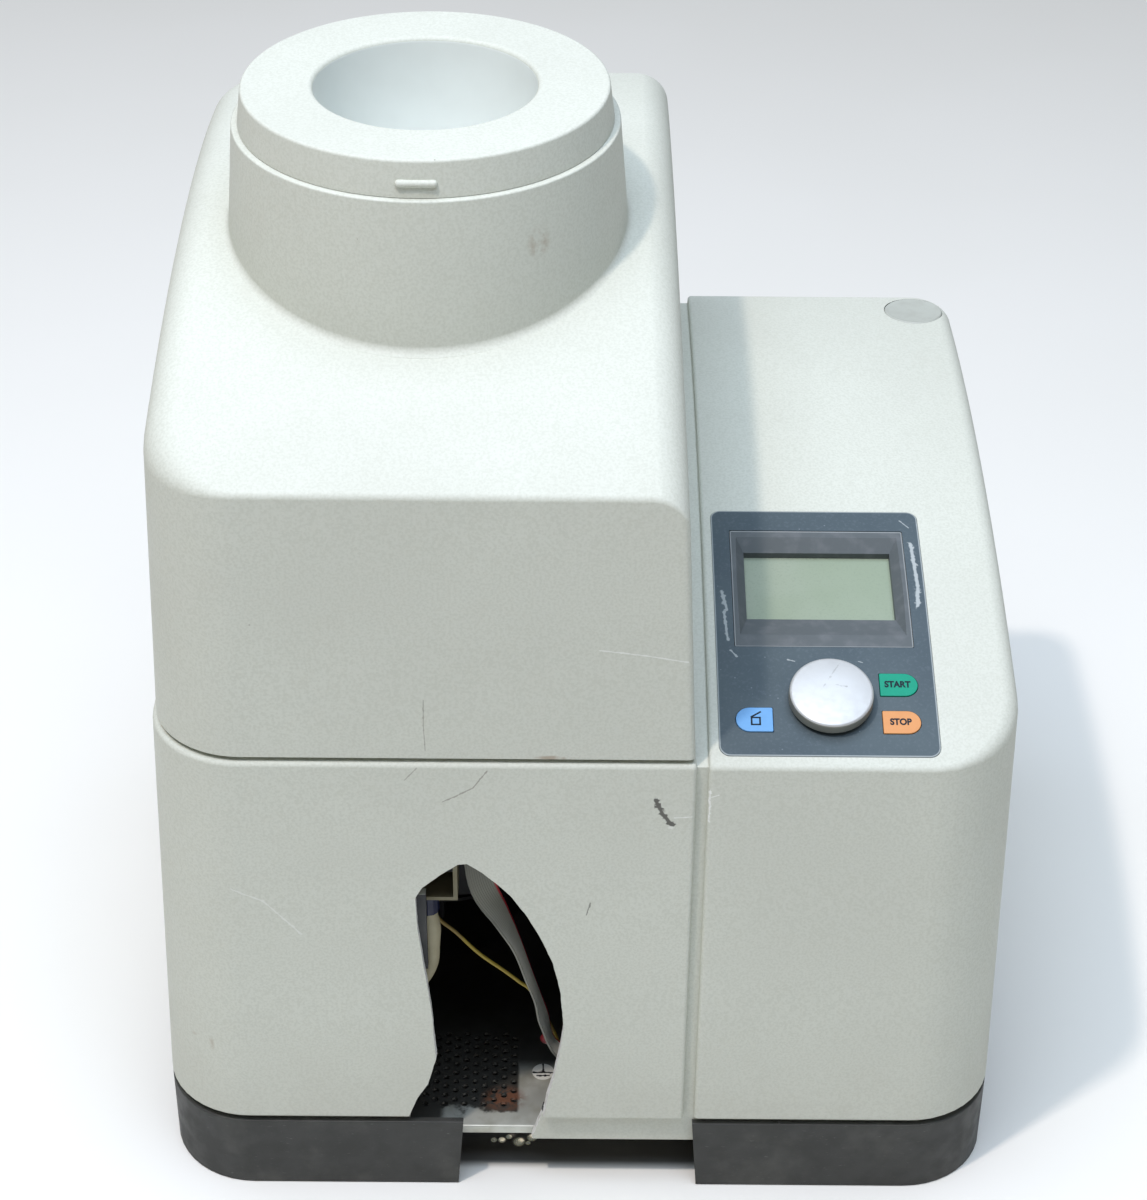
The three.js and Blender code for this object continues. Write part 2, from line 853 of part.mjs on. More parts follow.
function lowerCasing() {
  const top = casing.faceBottom;
  const deep = casing.faceBottom - OVERRUN;
  const outside = join(millingSide(0, top), electronicsSide(0, top), grooveWeb(0, top));
  const bridge = box(
    groove.left - casing.wall,
    groove.left + STITCH,
    casingFront(casing.seam) + groove.depth,
    casingBack(casing.seam) - groove.depth,
    top,
    casing.seam - casing.edgeRadius,
  );
  const hollow = join(
    millingSide(casing.wall, deep),
    electronicsSide(casing.wall, deep),
    grooveWeb(casing.wall, deep),
    grooveHollow(deep),
  );
  const lipTop = casing.faceBottom + casing.lipLap;
  const lip = cut(
    lipForm(casing.lipInset, casing.lipBottom, lipTop),
    lipForm(casing.lipInset + casing.lipWall, casing.lipBottom - OVERRUN, lipTop + OVERRUN),
  );
  let shell = join(cut(join(outside, bridge), hollow), lip);
  shell = join(shell, ...hinge.places.map(hingePocketWall), ...boardPosts(), coaming());
  shell = cut(shell, ...hinge.places.map(hingePocket), lockSlot(), brokenHole());
  const chamberHole = cylinder(chamber.radius + GAP, casing.seam - OVERRUN, casing.seam + OVERRUN, 32);
  shell = cut(shell, onAxis(chamberHole));
  const filmPocket = common(
    panelLayer(label.proud - label.thickness - GAP, OVERRUN),
    prismZ(labelOutline(GAP), panel.frontHeight - OVERRUN, panel.backHeight + OVERRUN, 4),
  );
  shell = cut(shell, filmPocket, bezelBlock(GAP, -OVERRUN, OVERRUN), knobHole(encoder.holeRadius));
  for (const spec of keys) {
    shell = cut(shell, keyHole(spec, GAP));
  }
  shell = cut(shell, socketPart(socket.boreRadius + socket.wall + GAP, -OVERRUN, OVERRUN));
  shell = cut(shell, socketPart(socket.capRadius + GAP, -socket.capThickness, OVERRUN));
  shell = cut(shell, rearOpening(rear, GAP), rearOpening(grille, GAP));
  return join(shell, box(rib.left, rib.right, rib.front, rib.back, rib.bottom, rib.top));
}

// Base, feet and skirts

function trayPlate(inset, z0, z1) {
  return lipForm(casing.lipInset + casing.lipWall + GAP + inset, z0, z1);
}

function trayVents() {
  const vents = [];
  for (let row = 0; row < tray.ventRows; row += 1) {
    for (let column = 0; column < tray.ventColumns; column += 1) {
      const x = tray.ventLeft + tray.ventPitchX * (column + (row % 2) / 2);
      const y = tray.ventFront + tray.ventPitchY * row;
      vents.push(cylinder(tray.ventRadius, tray.top - OVERRUN, tray.top + OVERRUN, 6).translate(x, y, 0));
    }
  }
  return vents;
}

function baseTray() {
  const sheet = trayPlate(0, tray.flangeBottom, tray.top);
  const under = trayPlate(tray.sheet, tray.flangeBottom - OVERRUN, tray.top - tray.sheet);
  const airHole = onAxis(cylinder(tray.airRadius, tray.top - OVERRUN, tray.top + OVERRUN, 32));
  return cut(sheet, under, airHole, ...trayVents());
}

function rubberFoot(sideX, sideY) {
  const top = tray.top - tray.sheet - GAP;
  const profile = [[0, 0], [foot.bottomRadius, 0], [foot.topRadius, top], [0, top]];
  const x = sideX * (WIDTH / 2 - foot.insetX);
  const y = sideY * (DEPTH / 2 - foot.insetY);
  return turned(profile, 20).translate(x, y, 0);
}

function skirtBand() {
  const faceInner = casing.lipInset - GAP;
  const face = cut(
    lipForm(0, skirt.bottom, skirt.top),
    lipForm(faceInner, skirt.bottom - OVERRUN, skirt.top + OVERRUN),
  );
  const heel = cut(
    lipForm(faceInner / 2, skirt.bottom, skirt.heelTop),
    lipForm(skirt.heelDepth, skirt.bottom - OVERRUN, skirt.heelTop + OVERRUN),
  );
  return join(face, heel);
}

// The side of the slanted end at which a skirt stops: everything past it is cut away.
function skirtEnd(side, end) {
  const far = side * WIDTH;
  const outline = [
    [end, skirt.top + OVERRUN],
    [end + side * skirt.endSlant, skirt.bottom],
    [end + side * skirt.endSlant, skirt.bottom - OVERRUN],
    [far, skirt.bottom - OVERRUN],
    [far, skirt.top + OVERRUN],
  ];
  return prismY(polygon(outline), -DEPTH, DEPTH);
}

function skirtPiece(side, end) {
  return common(skirtBand(), skirtEnd(side, end));
}

// Hood and hopper

const hoodBottom = casing.seam + hood.seamGap;

function hoodLean(z, amount) {
  return (amount * (z - hoodBottom)) / (hood.backHeight - hoodBottom);
}

// The hood stands a little behind the casing's edge at its front, left and back.
function hoodFront(z) {
  return casingFront(casing.seam) + hood.setBack + hoodLean(z, hood.frontLean);
}

function hoodBack(z) {
  return casingBack(casing.seam) - hood.setBack - hoodLean(z, hood.backLean);
}

function hoodLeft(z) {
  return casingLeft(casing.seam) + hood.setBack + hoodLean(z, hood.leftLean);
}

const hoodTop = archedTop(
  hoodFront(hood.frontHeight),
  hoodBack(hood.backHeight),
  hood.frontHeight,
  hood.backHeight,
  hood.bulge,
);

function hoodForm(inset, bottom) {
  return bodyForm({
    left: (z) => hoodLeft(z) + inset,
    right: (z) => hood.rightX - hoodLean(z, hood.rightLean) - inset,
    front: (z) => hoodFront(z) + inset,
    back: (z) => hoodBack(z) - inset,
    top: (y) => hoodTop(y) - inset,
    bottom,
    leftRadius: casing.cornerRadius - inset,
    rightRadius: hood.crispRadius,
    endLength: casing.cornerRadius,
    leftRoll: hood.sideRoll - inset,
    rightRoll: hood.sideRoll - inset,
    endRoll: hood.frontRoll,
    archRows: inset > 0 ? hollowRows : archRows,
  }, inset > 0 ? 3 : 5);
}

function hoodShell() {
  const wall = cylinder(collar.baseRadius, collar.root, collar.top, 48, collar.topRadius);
  const outside = join(hoodForm(0, hoodBottom), onAxis(wall));
  const inside = hoodForm(hood.wall, hoodBottom - OVERRUN);
  return cut(outside, inside, onAxis(cylinder(collar.bore, collar.root - OVERRUN, HEIGHT + OVERRUN, 48)));
}

function hoodLiner() {
  const left = hoodLeft(hoodBottom) + hood.wall + liner.sideGap;
  const right = hood.rightX - hood.wall - liner.sideGap;
  const outline = roundedRectangle(left, right, liner.frontY, liner.backY, casing.cornerRadius - hood.wall);
  const plate = prismZ(outline, liner.plateBottom, liner.plateBottom + liner.thickness, 6);
  const outer = liner.domeRadius;
  const domeTop = liner.domeTop;
  const dome = cylinder(outer, liner.plateBottom, domeTop, 36);
  const inner = cylinder(outer - liner.thickness, liner.plateBottom - OVERRUN, domeTop - liner.thickness, 36);
  const tube = cylinder(liner.tubeRadius + liner.tubeWall, domeTop - liner.thickness, liner.tubeTop, 32);
  const bore = cylinder(liner.tubeRadius, domeTop - OVERRUN, liner.tubeTop + OVERRUN, 32);
  const catchSlot = lockSlot().translate(0, 0, liner.plateBottom - casing.seam);
  const slots = hinge.places.map((x) => box(
    x - hinge.armWidth / 2 - GAP,
    x + hinge.armWidth / 2 + GAP,
    hinge.axisY - OVERRUN / 2,
    DEPTH,
    casing.seam,
    HEIGHT,
  ));
  return cut(join(plate, onAxis(dome), onAxis(tube)), onAxis(inner), onAxis(bore), catchSlot, ...slots);
}

function hoodSeal() {
  const top = liner.plateBottom - GAP;
  const bottom = top - liner.sealHeight;
  const outer = liner.domeRadius - liner.thickness + OVERRUN / 4;
  const inner = liner.sealRadius;
  return onAxis(turned([[inner, bottom], [outer, bottom], [outer, top], [inner, top]], 28));
}

function hoodCatch() {
  const half = lock.catchWidth / 2;
  const top = liner.plateBottom + liner.thickness + OVERRUN;
  const front = lock.catchY - lock.catchThickness;
  const plate = box(AXIS_X - half, AXIS_X + half, front, lock.catchY, lock.catchBottom, top);
  const windowHalf = lock.windowWidth / 2;
  const window = box(
    AXIS_X - windowHalf,
    AXIS_X + windowHalf,
    lock.catchY - OVERRUN,
    lock.catchY + OVERRUN,
    lock.windowBottom,
    lock.windowTop,
  );
  return cut(join(plate, catchBridge()), window);
}

// A cross plate on the liner carries the catch.
function catchBridge() {
  const half = lock.catchWidth;
  const front = lock.catchY - 2 * lock.catchThickness;
  const back = lock.catchY + 4 * lock.catchThickness;
  const z = liner.plateBottom + liner.thickness + GAP;
  return box(AXIS_X - half, AXIS_X + half, front, back, z, z + lock.catchThickness);
}

// A cylinder across the machine, on the hinge's axis.
function hingeRound(x, radius, length) {
  const round = new THREE.CylinderGeometry(radius, radius, length, 16);
  return round.rotateZ(Math.PI / 2).translate(x, hinge.axisY, hinge.axisZ);
}

function hingeArm(x) {
  const half = hinge.armWidth / 2 - GAP;
  const leafBack = hoodBack(hinge.leafTop) - hood.wall - GAP;
  const leaf = box(x - half, x + half, leafBack - hinge.leafThickness, leafBack, hinge.axisZ, hinge.leafTop);
  const eye = hingeRound(x, hinge.eyeRadius, 2 * half);
  return cut(join(leaf, eye), hingeRound(x, hinge.pinRadius + hinge.runningGap, WIDTH));
}

function hingeBracket(x) {
  const inner = hinge.armWidth / 2 + GAP;
  const outer = inner + hinge.earThickness - GAP;
  const base = hinge.pocketFloor + GAP;
  const front = hinge.pocketFront + GAP;
  const back = hinge.axisY + hinge.eyeRadius - GAP;
  const block = box(x - outer, x + outer, front, back, base, hinge.axisZ);
  const ears = hingeRound(x, hinge.eyeRadius, 2 * outer);
  const floor = base + hinge.baseThickness;
  const middle = box(x - inner, x + inner, hinge.pocketFront - OVERRUN, DEPTH, floor, HEIGHT);
  return cut(join(block, ears), middle, hingeRound(x, hinge.pinRadius + hinge.runningGap, WIDTH));
}

function hingePin(x) {
  return hingeRound(x, hinge.pinRadius, hinge.armWidth + 2 * hinge.earThickness);
}

function hopperInsert() {
  const foot0 = collar.top + GAP;
  const spigot = collar.bore - GAP;
  const under = HEIGHT - hopper.plateThickness;
  const mouth = hopper.mouthRadius;
  const body = turned([
    [hopper.throatRadius, hopper.throatBottom],
    [hopper.throatRadius + hopper.wall, hopper.throatBottom],
    [hopper.throatRadius + hopper.wall, hopper.throatTop - hopper.wall / 2],
    [mouth + hopper.wall, under],
    [spigot - hopper.spigotWall, under],
    [spigot - hopper.spigotWall, foot0 - hopper.spigotDepth],
    [spigot, foot0 - hopper.spigotDepth],
    [spigot, foot0],
    [hopper.footRadius, foot0],
    [hopper.topRadius, HEIGHT - hopper.topEdge],
    [hopper.topRadius - hopper.topEdge, HEIGHT],
    [mouth + hopper.mouthRound, HEIGHT],
    [mouth + hopper.mouthRound / 4, HEIGHT - hopper.mouthRound / 4],
    [mouth, HEIGHT - hopper.mouthRound],
    [hopper.throatRadius, hopper.throatTop],
  ], 32);
  const z = HEIGHT - hopper.barDrop;
  const half = hopper.barLength / 2;
  const out = hopper.footRadius + hopper.barProud;
  const rise = hopper.barHeight / 2;
  const bar = box(-half, half, -out, hopper.wall - hopper.topRadius, z - rise, z + rise);
  return join(onAxis(body), onAxis(bar));
}

// Milling chamber and drive

function chamberBowl() {
  const flangeTop = casing.seam + GAP + chamber.flangeThickness;
  const inner = chamber.radius - chamber.wall;
  return onAxis(turned([
    [chamber.hubRadius, chamber.floor],
    [chamber.radius, chamber.floor],
    [chamber.radius, casing.seam + GAP],
    [chamber.flangeRadius, casing.seam + GAP],
    [chamber.flangeRadius, flangeTop],
    [inner, flangeTop],
    [inner, chamber.floor + chamber.floorThickness],
    [chamber.hubRadius, chamber.floor + chamber.floorThickness],
  ], 32));
}

const panFloor = chamber.floor + chamber.floorThickness + GAP;

function cassettePan() {
  const w = pan.wall;
  return onAxis(turned([
    [pan.innerRadius - w, panFloor],
    [pan.radius, panFloor],
    [pan.radius, pan.top],
    [pan.radius - w, pan.top],
    [pan.radius - w, panFloor + w],
    [pan.innerRadius, panFloor + w],
    [pan.innerRadius, pan.innerTop],
    [pan.innerRadius - w, pan.innerTop],
  ], 24));
}

const sieveBottom = pan.innerTop + GAP;
const sieveTop = sieveBottom + sieve.height;

function ringSieve() {
  const inner = sieve.radius - sieve.wall;
  const rim = sieve.radius - sieve.rimWall;
  return onAxis(turned([
    [rim, sieveBottom],
    [sieve.radius, sieveBottom],
    [sieve.radius, sieveTop],
    [rim, sieveTop],
    [rim, sieveTop - sieve.rimHeight],
    [inner, sieveTop - sieve.rimHeight],
    [inner, sieveBottom + sieve.rimHeight],
    [rim, sieveBottom + sieve.rimHeight],
  ], 24));
}

function cassetteLid() {
  const bottom = pan.top + GAP;
  const top = bottom + lid.thickness;
  const rimOuter = pan.radius + lid.thickness + GAP;
  const seat = sieveTop + GAP;
  return onAxis(turned([
    [lid.holeRadius, bottom],
    [sieve.radius - sieve.rimWall, bottom],
    [sieve.radius - sieve.rimWall, seat],
    [sieve.radius, seat],
    [sieve.radius, bottom],
    [pan.radius + GAP, bottom],
    [pan.radius + GAP, bottom - lid.rimDrop],
    [rimOuter, bottom - lid.rimDrop],
    [rimOuter, top],
    [lid.holeRadius + lid.thickness, top],
    [lid.holeRadius + lid.thickness, top + lid.collarHeight],
    [lid.holeRadius, top + lid.collarHeight],
  ], 24));
}

const rotorBottom = sieveBottom + sieve.rimHeight / 2;

function rotorPiece() {
  const radius = sieve.radius - sieve.rimWall - 2 * STITCH;
  const discTop = rotorBottom + rotor.discThickness;
  const disc = cylinder(radius, rotorBottom, discTop, 36);
  const hub = cylinder(rotor.hubRadius, rotorBottom - shaft.noseHeight, discTop + rotor.discThickness, 24);
  const tooth = polygon([
    [radius - rotor.toothDepth, -rotor.toothWidth / 5],
    [radius - STITCH / 4, -rotor.toothWidth / 2],
    [radius - STITCH / 4, rotor.toothWidth / 2],
    [radius - rotor.toothDepth, rotor.toothWidth / 5],
  ]);
  const teeth = [];
  for (let i = 0; i < rotor.teeth; i += 1) {
    const blade = prismZ(tooth, discTop - STITCH, discTop + rotor.toothHeight);
    teeth.push(blade.rotateZ((2 * Math.PI * i) / rotor.teeth));
  }
  const bore = cylinder(shaft.noseRadius + GAP, rotorBottom - OVERRUN, discTop, 24);
  const whole = cut(join(disc, hub, ...teeth), bore);
  return whole.translate([AXIS_X, AXIS_Y, 0]);
}

// The shaft, with the motor's armature pressed on its middle and a slim nose for the rotor.
function motorShaft() {
  const shoulder = rotorBottom - shaft.noseHeight - GAP;
  const end = rotorBottom + rotor.discThickness - GAP;
  const inset = 2 * motor.bearingHeight + motor.endHeight;
  const armature = motor.bore - STITCH;
  return onAxis(turned([
    [0, shaft.bottom],
    [shaft.radius, shaft.bottom],
    [shaft.radius, motor.bottom + inset],
    [armature, motor.bottom + inset],
    [armature, motor.top - inset],
    [shaft.radius, motor.top - inset],
    [shaft.radius, shoulder],
    [shaft.noseRadius, shoulder],
    [shaft.noseRadius, end],
    [0, end],
  ], 24));
}

function shaftSeal() {
  const bottom = chamber.floor;
  const inner = shaft.radius + GAP;
  return onAxis(turned([
    [inner, bottom],
    [chamber.hubRadius - GAP, bottom],
    [chamber.hubRadius - GAP, bottom + seal.thickness],
    [inner, bottom + seal.thickness],
  ], 20));
}

function bearingRing(bottom) {
  const inner = shaft.radius + GAP;
  return onAxis(turned([
    [inner, bottom],
    [motor.bearingRadius, bottom],
    [motor.bearingRadius, bottom + motor.bearingHeight],
    [inner, bottom + motor.bearingHeight],
  ], 20));
}

function motorHousing() {
  const seat = motor.bearingRadius + GAP;
  const h = motor.bearingHeight;
  const passage = shaft.radius + 2 * STITCH;
  const body = turned([
    [seat, motor.bottom],
    [motor.endRadius, motor.bottom],
    [motor.endRadius, motor.bottom + motor.endHeight],
    [motor.radius, motor.bottom + motor.endHeight],
    [motor.radius, motor.top - motor.endHeight],
    [motor.endRadius, motor.top - motor.endHeight],
    [motor.endRadius, motor.top],
    [seat, motor.top],
    [seat, motor.top - h],
    [passage, motor.top - h],
    [passage, motor.top - 2 * h],
    [motor.bore, motor.top - 2 * h],
    [motor.bore, motor.bottom + 2 * h],
    [passage, motor.bottom + 2 * h],
    [passage, motor.bottom + h],
    [seat, motor.bottom + h],
  ], 24);
  const grooves = [];
  for (let i = 0; i < motor.finCount; i += 1) {
    const slot = box(
      motor.radius - motor.finDepth,
      motor.radius + OVERRUN,
      -motor.finWidth / 2,
      motor.finWidth / 2,
      motor.bottom + 2 * motor.endHeight,
      motor.top - 2 * motor.endHeight,
    );
    grooves.push(slot.rotateZ((2 * Math.PI * i) / motor.finCount));
  }
  return cut(body, ...grooves).translate([AXIS_X, AXIS_Y, 0]);
}

// The carrier plate has a collar under it that seats on the motor's end.
function motorCarrier() {
  const bottom = carrier.top - carrier.thickness;
  const inner = motor.bearingRadius + 2 * GAP;
  return onAxis(turned([
    [inner, motor.top + GAP],
    [motor.endRadius, motor.top + GAP],
    [motor.endRadius, bottom],
    [carrier.radius, bottom],
    [carrier.radius, carrier.top],
    [inner, carrier.top],
  ], 24));
}

function rubberBuffer(index) {
  const angle = (2 * Math.PI * index) / carrier.buffers + Math.PI / 2;
  const buffer = cylinder(carrier.bufferRadius, carrier.top + GAP, chamber.floor - GAP, 20);
  buffer.translate(carrier.bufferCircle * Math.cos(angle), carrier.bufferCircle * Math.sin(angle), 0);
  return onAxis(buffer);
}

function coolingFan() {
  const top = fan.bottom + fan.height;
  const plate = cylinder(fan.radius, top - fan.plate, top, 32);
  const hub = cylinder(fan.hubRadius, fan.bottom, top, 24);
  const blades = [];
  for (let i = 0; i < fan.blades; i += 1) {
    const half = fan.bladeThickness / 2;
    const [x0, x1] = [fan.hubRadius - STITCH, fan.radius - STITCH];
    const blade = box(x0, x1, -half, half, fan.bottom, top - fan.plate / 2);
    blades.push(blade.rotateZ((2 * Math.PI * i) / fan.blades));
  }
  const bore = cylinder(shaft.radius + GAP, fan.bottom - OVERRUN, top + OVERRUN, 24);
  return cut(join(plate, hub, ...blades), bore).translate([AXIS_X, AXIS_Y, 0]);
}

// Hood lock

function lockDrive() {
  const back = lock.catchY + lock.travel + lock.driveDepth;
  const front = lock.catchY + lock.slotMargin + 2 * GAP;
  const top = casing.seam - casing.wall - GAP;
  const half = lock.driveWidth / 2;
  const block = box(AXIS_X - half, AXIS_X + half, front, back, top - lock.driveHeight, top);
  const bore = new THREE.CylinderGeometry(lock.boltRadius + GAP, lock.boltRadius + GAP, DEPTH, 20);
  bore.translate(AXIS_X, back - DEPTH / 2 - casing.wall, lock.boltZ);
  return cut(block, bore);
}

function lockBolt() {
  const front = lock.catchY + STITCH;
  const bolt = new THREE.CylinderGeometry(lock.boltRadius, lock.boltRadius, lock.boltLength, 20);
  return bolt.translate(AXIS_X, front + lock.boltLength / 2, lock.boltZ);
}

// Control panel

function controlLabel() {
  const outline = prismZ(labelOutline(0), panel.frontHeight - OVERRUN, panel.backHeight + OVERRUN, 4);
  const film = common(panelLayer(label.proud - label.thickness, label.proud), outline);
  const holes = keys.map((spec) => keyHole(spec, GAP));
  return cut(film, bezelBlock(GAP, -OVERRUN, OVERRUN), knobHole(encoder.holeRadius), ...holes);
}

// A funnel between two rectangles, used for the sloping sides of the display window.
function rectangleFunnel(low, high, z0, z1) {
  const corners = [];
  for (const [rectangle, z] of [[low, z0], [high, z1]]) {
    corners.push([rectangle[0], rectangle[2], z], [rectangle[1], rectangle[2], z]);
    corners.push([rectangle[1], rectangle[3], z], [rectangle[0], rectangle[3], z]);
  }
  const geometry = new THREE.BufferGeometry();
  geometry.setAttribute("position", new THREE.Float32BufferAttribute(corners.flat(), 3));
  const index = [0, 2, 1, 0, 3, 2, 4, 5, 6, 4, 6, 7];
  for (let i = 0; i < 4; i += 1) {
    const j = (i + 1) % 4;
    index.push(i, j, j + 4, i, j + 4, i + 4);
  }
  geometry.setIndex(index);
  return geometry;
}

const bezelCentre = [(bezel.left + bezel.right) / 2, (bezel.front + bezel.back) / 2];

function lcdRectangle(margin) {
  const x = lcd.centreX - bezelCentre[0];
  const [halfX, halfY] = [lcd.width / 2 + margin, lcd.length / 2 + margin];
  return [x - halfX, x + halfX, lcd.centreShift - halfY, lcd.centreShift + halfY];
}

function displayBezel() {
  const block = bezelBlock(0, -bezel.depth, OVERRUN / 4);
  const body = common(block, panelLayer(-OVERRUN, -GAP));
  const halfX = (bezel.right - bezel.left) / 2 - bezel.rim;
  const halfY = (bezel.back - bezel.front) / 2 - bezel.rim;
  const mouth = [-halfX, halfX, -halfY, halfY];
  const place = panelFrame(...bezelCentre);
  const floor = lcdRectangle(STITCH);
  const funnel = rectangleFunnel(floor, mouth, -bezel.drop, STITCH / 2);
  const window = rectangleFunnel(floor, floor, -bezel.depth - OVERRUN, -bezel.drop + STITCH / 4);
  const pocket = lcdRectangle(lcd.margin + GAP);
  const lcdSeat = rectangleFunnel(pocket, pocket, -bezel.depth - OVERRUN, GAP - bezel.drop - lcd.recess);
  return cut(
    body,
    funnel.applyMatrix4(place),
    window.applyMatrix4(place),
    lcdSeat.applyMatrix4(place),
  );
}

function lcdModule() {
  const outline = lcdRectangle(lcd.margin);
  const top = -bezel.drop - lcd.recess;
  const glass = rectangleFunnel(outline, outline, top - lcd.thickness, top);
  return glass.applyMatrix4(panelFrame(...bezelCentre));
}

function knobPiece() {
  const bottom = label.proud + knob.gap;
  const top = bottom + knob.height;
  const bore = encoder.shaftRadius + GAP / 3;
  return turned([
    [0, top],
    [knob.radius * knob.flatShare, top - knob.crown * knob.crownShare],
    [knob.radius - knob.edge, top - knob.crown],
    [knob.radius - knob.edge / 3, top - knob.crown - knob.edge / 3],
    [knob.radius, top - knob.crown - knob.edge],
    [knob.radius, bottom],
    [knob.radius - knob.edge, bottom],
    [knob.radius - knob.edge, bottom + knob.edge],
    [bore + knob.edge, bottom + knob.edge],
    [bore + knob.edge, bottom],
    [bore, bottom],
    [bore, top - knob.crown - 2 * knob.edge],
    [0, top - knob.crown - 2 * knob.edge],
  ], 24).applyMatrix4(panelFrame(knob.x, knob.y));
}

// How far the board lies under the panel's surface at the knob, measured square to the board.
function encoderDepth() {
  const angle = Math.atan((panelTop(board.back) - panelTop(board.front)) / (board.back - board.front));
  return (panelTop(knob.y) - boardTop(knob.y)) * Math.cos(angle) - 2 * GAP;
}

function encoderShaft() {
  const top = label.proud + knob.gap + knob.height - knob.crown - 2 * knob.edge - GAP;
  const bottom = encoder.floor + encoder.travel + GAP - encoderDepth();
  return cylinder(encoder.shaftRadius, bottom, top, 20).applyMatrix4(panelFrame(knob.x, knob.y));
}

function encoderBody() {
  const half = encoder.width / 2;
  const top = -casing.wall - 2 * STITCH;
  const block = box(-half, half, -half, half, -encoderDepth(), top);
  const bore = cylinder(encoder.shaftRadius + GAP / 3, encoder.floor - encoderDepth(), OVERRUN, 20);
  return geometryOf(cut(block, bore)).applyMatrix4(panelFrame(knob.x, knob.y));
}

function keyPiece(spec) {
  const top = label.proud + key.proud;
  const cap = prismZ(localKeyOutline(spec, 0), top - key.thickness, top, 6);
  const stemTop = top - key.thickness + STITCH / 2;
  const stem = cylinder(key.stemRadius, top - key.thickness - key.stemLength, stemTop, 12);
  const [x, y] = keyCentre(spec);
  const place = panelFrame(x, y);
  return join(cap.applyMatrix4(place), stem.applyMatrix4(place));
}

// The board hangs under the panel on a straight chord of its arch.
function boardFrame() {
  const [y0, y1] = [board.front, board.back];
  const angle = Math.atan((panelTop(y1) - panelTop(y0)) / (y1 - y0));
  const place = new THREE.Matrix4().makeTranslation(0, y0, panelTop(y0) - board.drop);
  return place.multiply(new THREE.Matrix4().makeRotationX(angle));
}

function controlBoard() {
  const length = Math.hypot(board.back - board.front, panelTop(board.back) - panelTop(board.front));
  return box(board.left, board.right, 0, length, -board.thickness, 0).applyMatrix4(boardFrame());
}

// Posts of the casing moulding reach down to the board's corners.
function boardPosts() {
  const posts = [];
  for (const x of [board.left + 2 * post.radius, board.right - 2 * post.radius]) {
    for (const y of [board.front + 2 * post.radius, board.back - 2 * post.radius]) {
      const bottom = boardTop(y) + GAP + post.radius * GAP;
      posts.push(cylinder(post.radius, bottom, panelTop(y) - casing.wall / 2, 12).translate(x, y, 0));
    }
  }
  return posts;
}

function boardTop(y) {
  const share = (y - board.front) / (board.back - board.front);
  return panelTop(board.front) - board.drop + share * (panelTop(board.back) - panelTop(board.front));
}

function socketCap() {
  const plugRadius = socket.boreRadius - GAP;
  return turned([
    [0, -socket.capPlug],
    [plugRadius, -socket.capPlug],
    [plugRadius, GAP - socket.capThickness],
    [socket.capRadius, GAP - socket.capThickness],
    [socket.capRadius, 0],
    [socket.capRadius - STITCH, STITCH / 2],
    [0, STITCH],
  ], 28).applyMatrix4(panelFrame(socket.x, socket.y));
}

function socketTube() {
  const top = -socket.capThickness;
  const outer = socket.boreRadius + socket.wall;
  return turned([
    [0, top - socket.length],
    [outer, top - socket.length],
    [outer, top],
    [socket.boreRadius, top],
    [socket.boreRadius, top - socket.length + socket.wall],
    [0, top - socket.length + socket.wall],
  ], 24).applyMatrix4(panelFrame(socket.x, socket.y));
}

// Electronics

const inverterBottom = tray.top + GAP;
const inverterTop = inverterBottom + inverter.height;

function inverterCase() {
  const front = inverter.back - inverter.length;
  return box(inverter.left, inverter.right, front, inverter.back, inverterBottom, inverterTop);
}

function heatSink() {
  const front = inverter.back - inverter.length;
  const bottom = inverterTop + GAP;
  const plate = box(inverter.left, inverter.right, front, inverter.back, bottom, bottom + sink.plate);
  const fins = [];
  for (let i = 0; i < sink.fins; i += 1) {
    const x = inverter.left + ((inverter.right - inverter.left - sink.finThickness) * i) / (sink.fins - 1);
    const top = bottom + sink.plate + sink.finHeight;
    fins.push(box(x, x + sink.finThickness, front, inverter.back, bottom + sink.plate / 2, top));
  }
  return join(plate, ...fins);
}

// Rear fittings

function rearPlate(spec, thickness, corner) {
  const face = casingBack(spec.top) - rear.setBack;
  const outline = roundedRectangle(spec.left, spec.right, spec.bottom, spec.top, corner);
  return { plate: prismY(outline, face - thickness, face, 4), face };
}

function opening(x, z, width, height, corner, margin) {
  const [halfX, halfZ] = [width / 2 + margin, height / 2 + margin];
  const outline = roundedRectangle(x - halfX, x + halfX, z - halfZ, z + halfZ, corner + margin);
  return prismY(outline, DEPTH / 2 - 2 * OVERRUN, DEPTH / 2 + OVERRUN, 3);
}

function rearPanel() {
  const { plate } = rearPlate(rear, rear.sheet, rear.corner);
  return cut(
    plate,
    opening(inlet.x, inlet.z, inlet.width, inlet.height, inlet.corner, GAP),
    opening(fuse.x, fuse.z, fuse.width + 2 * inlet.wall, fuse.height + 2 * inlet.wall, STITCH, GAP),
    opening(rocker.x, rocker.z, rocker.width + 2 * rocker.wall, rocker.height + 2 * rocker.wall, STITCH, GAP),
  );
}

function rearGrille() {
  const { plate, face } = rearPlate(grille, grille.thickness, rear.corner);
  const pitch = (grille.top - grille.bottom - 2 * grille.frame) / grille.slats;
  const slots = [];
  for (let i = 0; i < grille.slats; i += 1) {
    const z = grille.bottom + grille.frame + pitch * (i + (1 - grille.slatShare) / 2);
    slots.push(box(
      grille.left + grille.frame,
      grille.right - grille.frame,
      face - OVERRUN,
      face + OVERRUN,
      z,
      z + pitch * grille.slatShare,
    ));
  }
  return cut(plate, ...slots);
}

